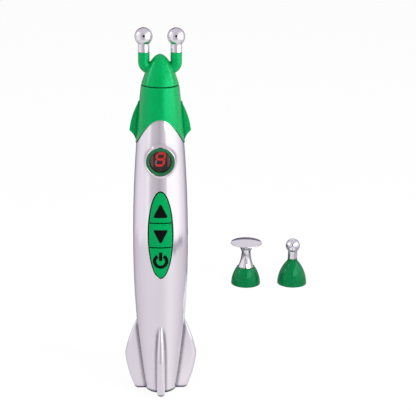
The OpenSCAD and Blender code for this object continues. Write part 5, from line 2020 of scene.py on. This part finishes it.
@dataclass
class Studio:
    """Floor, tent light, panels and camera."""

    camera_mm: Point3 = (-1.742, -635.067, 307.6)
    yaw: float = 2.4895
    pitch: float = 17.5557
    roll: float = -0.5535
    lens_px: float = 1225.0
    frame_px: float = 416.0
    sensor_mm: float = 36.0
    floor_m: float = 14.0
    floor_glow: float = 0.94
    floor_edge: Point2 = (0.27, 0.31)
    ripple: float = 0.12
    tent: float = 1.15
    fill: float = 0.55
    roof: str = "#C9C4CE"
    roof_z: Point2 = (0.55, 0.85)

    def camera(self) -> None:
        """Puts the camera at the photograph's angle."""
        data = bpy.data.cameras.new("camera")
        data.sensor_width = self.sensor_mm
        data.sensor_fit = "HORIZONTAL"
        data.lens = self.sensor_mm * self.lens_px / self.frame_px
        data.clip_start = 0.01
        data.clip_end = 30.0
        thing = placed("camera", data)
        yaw, pitch, roll = (math.radians(a) for a in (self.yaw, self.pitch, self.roll))
        ahead = Vector((math.sin(yaw) * math.cos(pitch), math.cos(yaw) * math.cos(pitch),
                        -math.sin(pitch)))
        right = Vector((math.cos(yaw), -math.sin(yaw), 0.0))
        up = right.cross(ahead)
        wide = right * math.cos(roll) - up * math.sin(roll)
        high = right * math.sin(roll) + up * math.cos(roll)
        turn = Matrix((wide, high, -ahead)).transposed().to_4x4()
        turn.translation = Vector(self.camera_mm) * MM
        thing.matrix_world = turn
        bpy.context.scene.camera = thing

    def mirrored_floor(self, net: Net, place: Socket) -> Socket:
        """Adds the tone that mirrors see of the floor.

        Args:
            net: Node tree of the floor.
            place: Its Object coordinates.

        Returns:
            The tone.
        """
        parts = net.add("SeparateXYZ", {0: place}).outputs
        x, y = parts["X"], parts["Y"]
        far, near = FAR_TONES.ramp(net, x, y), NEAR_TONES.ramp(net, x, y)
        wave = net.noise(place, 120.0, 1.0)
        away = net.add("VectorMath", {0: place}, operation="LENGTH").outputs["Value"]
        away = net.calc("ADD", away, net.calc("MULTIPLY_ADD", wave, self.ripple, -self.ripple / 2))
        tone = net.mix(net.remap(away, *self.floor_edge), near, far)
        values = {Measure.X: x, Measure.Y: y, Measure.AWAY: away}
        for shade, *bands in PATCHES:
            share = bands[0].share(net, values)
            for band in bands[1:]:
                share = net.calc("MULTIPLY", share, band.share(net, values))
            tone = net.mix(share, tone, shade)
        return tone

    def floor(self) -> None:
        """Pale floor: white to the camera, toned in the pen's mirror, with a soft shadow."""
        thing = self.sheet("pale_floor", self.floor_m, self.floor_m)
        material = bpy.data.materials.new("pale_card_floor")
        net = Net(material)
        place, paths = net.place(), net.add("LightPath").outputs
        paper = net.mix(net.noise(place, 3.0), "#FDFDFD", "#F8F8F8")
        card = net.add("BsdfDiffuse", {"Color": paper}).outputs[0]
        white = net.shine("Emission", "#FFFFFF", 1.0)
        mirrored = net.shine("Emission", self.mirrored_floor(net, place), self.tent)
        seen = net.either(paths["Is Camera Ray"], card, net.either(self.floor_glow, card, white))
        clear = net.either(paths["Is Transmission Ray"], seen, white)
        last = net.either(paths["Is Glossy Ray"], clear, mirrored)
        net.add("OutputMaterial", {0: last})
        thing.data.materials.append(material)

    def world(self) -> None:
        """White tent with a grey middle and darker far sides, as plating and chrome mirror it."""
        world = bpy.data.worlds.new("tent")
        bpy.context.scene.world = world
        net = Net(world)
        way = net.add("SeparateXYZ", {0: net.add("TexCoord").outputs["Generated"]}).outputs
        paths = net.add("LightPath").outputs
        around = FAR_TONES.ramp(net, way["X"], way["Y"])
        tone = net.mix(net.remap(way["Z"], *self.roof_z), around, self.roof)
        shiny = net.either(paths["Is Glossy Ray"], net.shine("Background", "#FFFFFF", self.fill),
                           net.shine("Background", tone, self.tent))
        clear = net.calc("MAXIMUM", paths["Is Camera Ray"], paths["Is Transmission Ray"])
        final = net.either(clear, shiny, net.shine("Background", "#FFFFFF", 1.0))
        net.add("OutputWorld", {0: final})

    def sheet(self, name: str, width: float, height: float) -> bpy.types.Object:
        """Flat sheet in the XY plane in metres.

        Args:
            name: Name of the sheet.
            width: Its size along X.
            height: Its size along Y.

        Returns:
            The sheet.
        """
        bm = bmesh.new()
        bmesh.ops.create_grid(bm, x_segments=1, y_segments=1, size=0.5)
        bmesh.ops.scale(bm, vec=(width, height, 1.0), verts=bm.verts)
        thing = meshed(name, bm)
        return thing

    def mirrored_only(self, thing: bpy.types.Object, turn: Matrix, tone: str,
                      strength: float) -> None:
        """Moves a sheet to its place, gives it an even tone and shows it to mirrors only.

        Args:
            thing: The sheet.
            turn: Its way from the origin.
            tone: Its colour.
            strength: Its brightness.
        """
        thing.data.transform(turn)
        for ray in ("camera", "diffuse", "shadow", "transmission", "volume_scatter"):
            setattr(thing, f"visible_{ray}", False)
        material = bpy.data.materials.new(thing.name)
        net = Net(material)
        net.add("OutputMaterial", {0: net.shine("Emission", tone, strength)})
        thing.data.materials.append(material)

    def opening(self, height: float, away: float, radius: float) -> None:
        """Dark round opening in front of the twin electrodes, on the camera's line.

        Args:
            height: Height of the electrodes in millimetres.
            away: Its distance from them in millimetres.
            radius: Its radius in millimetres.
        """
        bm = bmesh.new()
        bmesh.ops.create_circle(bm, cap_ends=True, segments=48, radius=radius * MM)
        thing = meshed("tent_opening", bm)
        start = Vector((0.0, 0.0, height))
        way = (Vector(self.camera_mm) - start).normalized()
        turn = way.to_track_quat("Z", "Y").to_matrix().to_4x4()
        self.mirrored_only(thing, Matrix.Translation((start + way * away) * MM) @ turn,
                           "#0C0C0E", 1.0)

    def panel(self, name: str, near: Point2, degrees: float, away: float, low: float,
              size: Point2, tone: str, strength: float) -> None:
        """Upright panel that only mirrors see.

        Args:
            name: Name of the panel.
            near: Place on the floor that it faces, in millimetres.
            degrees: Its direction from there, 0 being the camera's side.
            away: Its distance in millimetres.
            low: Height of its lower edge in millimetres.
            size: Its width and height in millimetres.
            tone: Its colour.
            strength: Its brightness.
        """
        thing = self.sheet(name, size[0] * MM, size[1] * MM)
        head = Vector((*near, 0.0))
        way = Vector(self.camera_mm) - head
        base = math.atan2(way.y, way.x) + math.radians(degrees)
        spot = head + Vector((math.cos(base), math.sin(base), 0.0)) * away
        spot.z = low + size[1] / 2
        turn = Matrix.Rotation(base - math.pi / 2, 4, "Z") @ Matrix.Rotation(math.pi / 2, 4, "X")
        self.mirrored_only(thing, Matrix.Translation(spot * MM) @ turn, tone, strength)

    def build(self) -> None:
        """Sets up the whole studio."""
        self.camera()
        self.floor()
        self.world()
        for lamp in LAMPS:
            lamp.build()
        self.opening(205.0, 300.0, 78.0)
        self.panel("back_panel", (76.0, 163.0), 180.0, 170.0, 70.0, (170.0, 260.0), "#D8D4DC", 1.1)
        self.panel("right_panel", (0.0, 0.0), 54.0, 320.0, 132.0, (420.0, 190.0), "#FFFFFF", 3.0)
        bpy.context.scene.view_settings.view_transform = "Standard"


def main() -> None:
    """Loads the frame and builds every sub-assembly."""
    logging.basicConfig(level=logging.INFO, format="%(message)s")
    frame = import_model()
    Studio().build()
    case = PlatedCase()
    for side in Side:
        case.half(side)
    BatteryDoor().build()
    NoseCollar().build()
    TwinHead().build()
    RoundWindow().build()
    ButtonColumn().build()
    SpareHeads().build()
    for piece in CARRIED:
        piece.build(frame["nodes"])


if __name__ == "__main__":
    main()
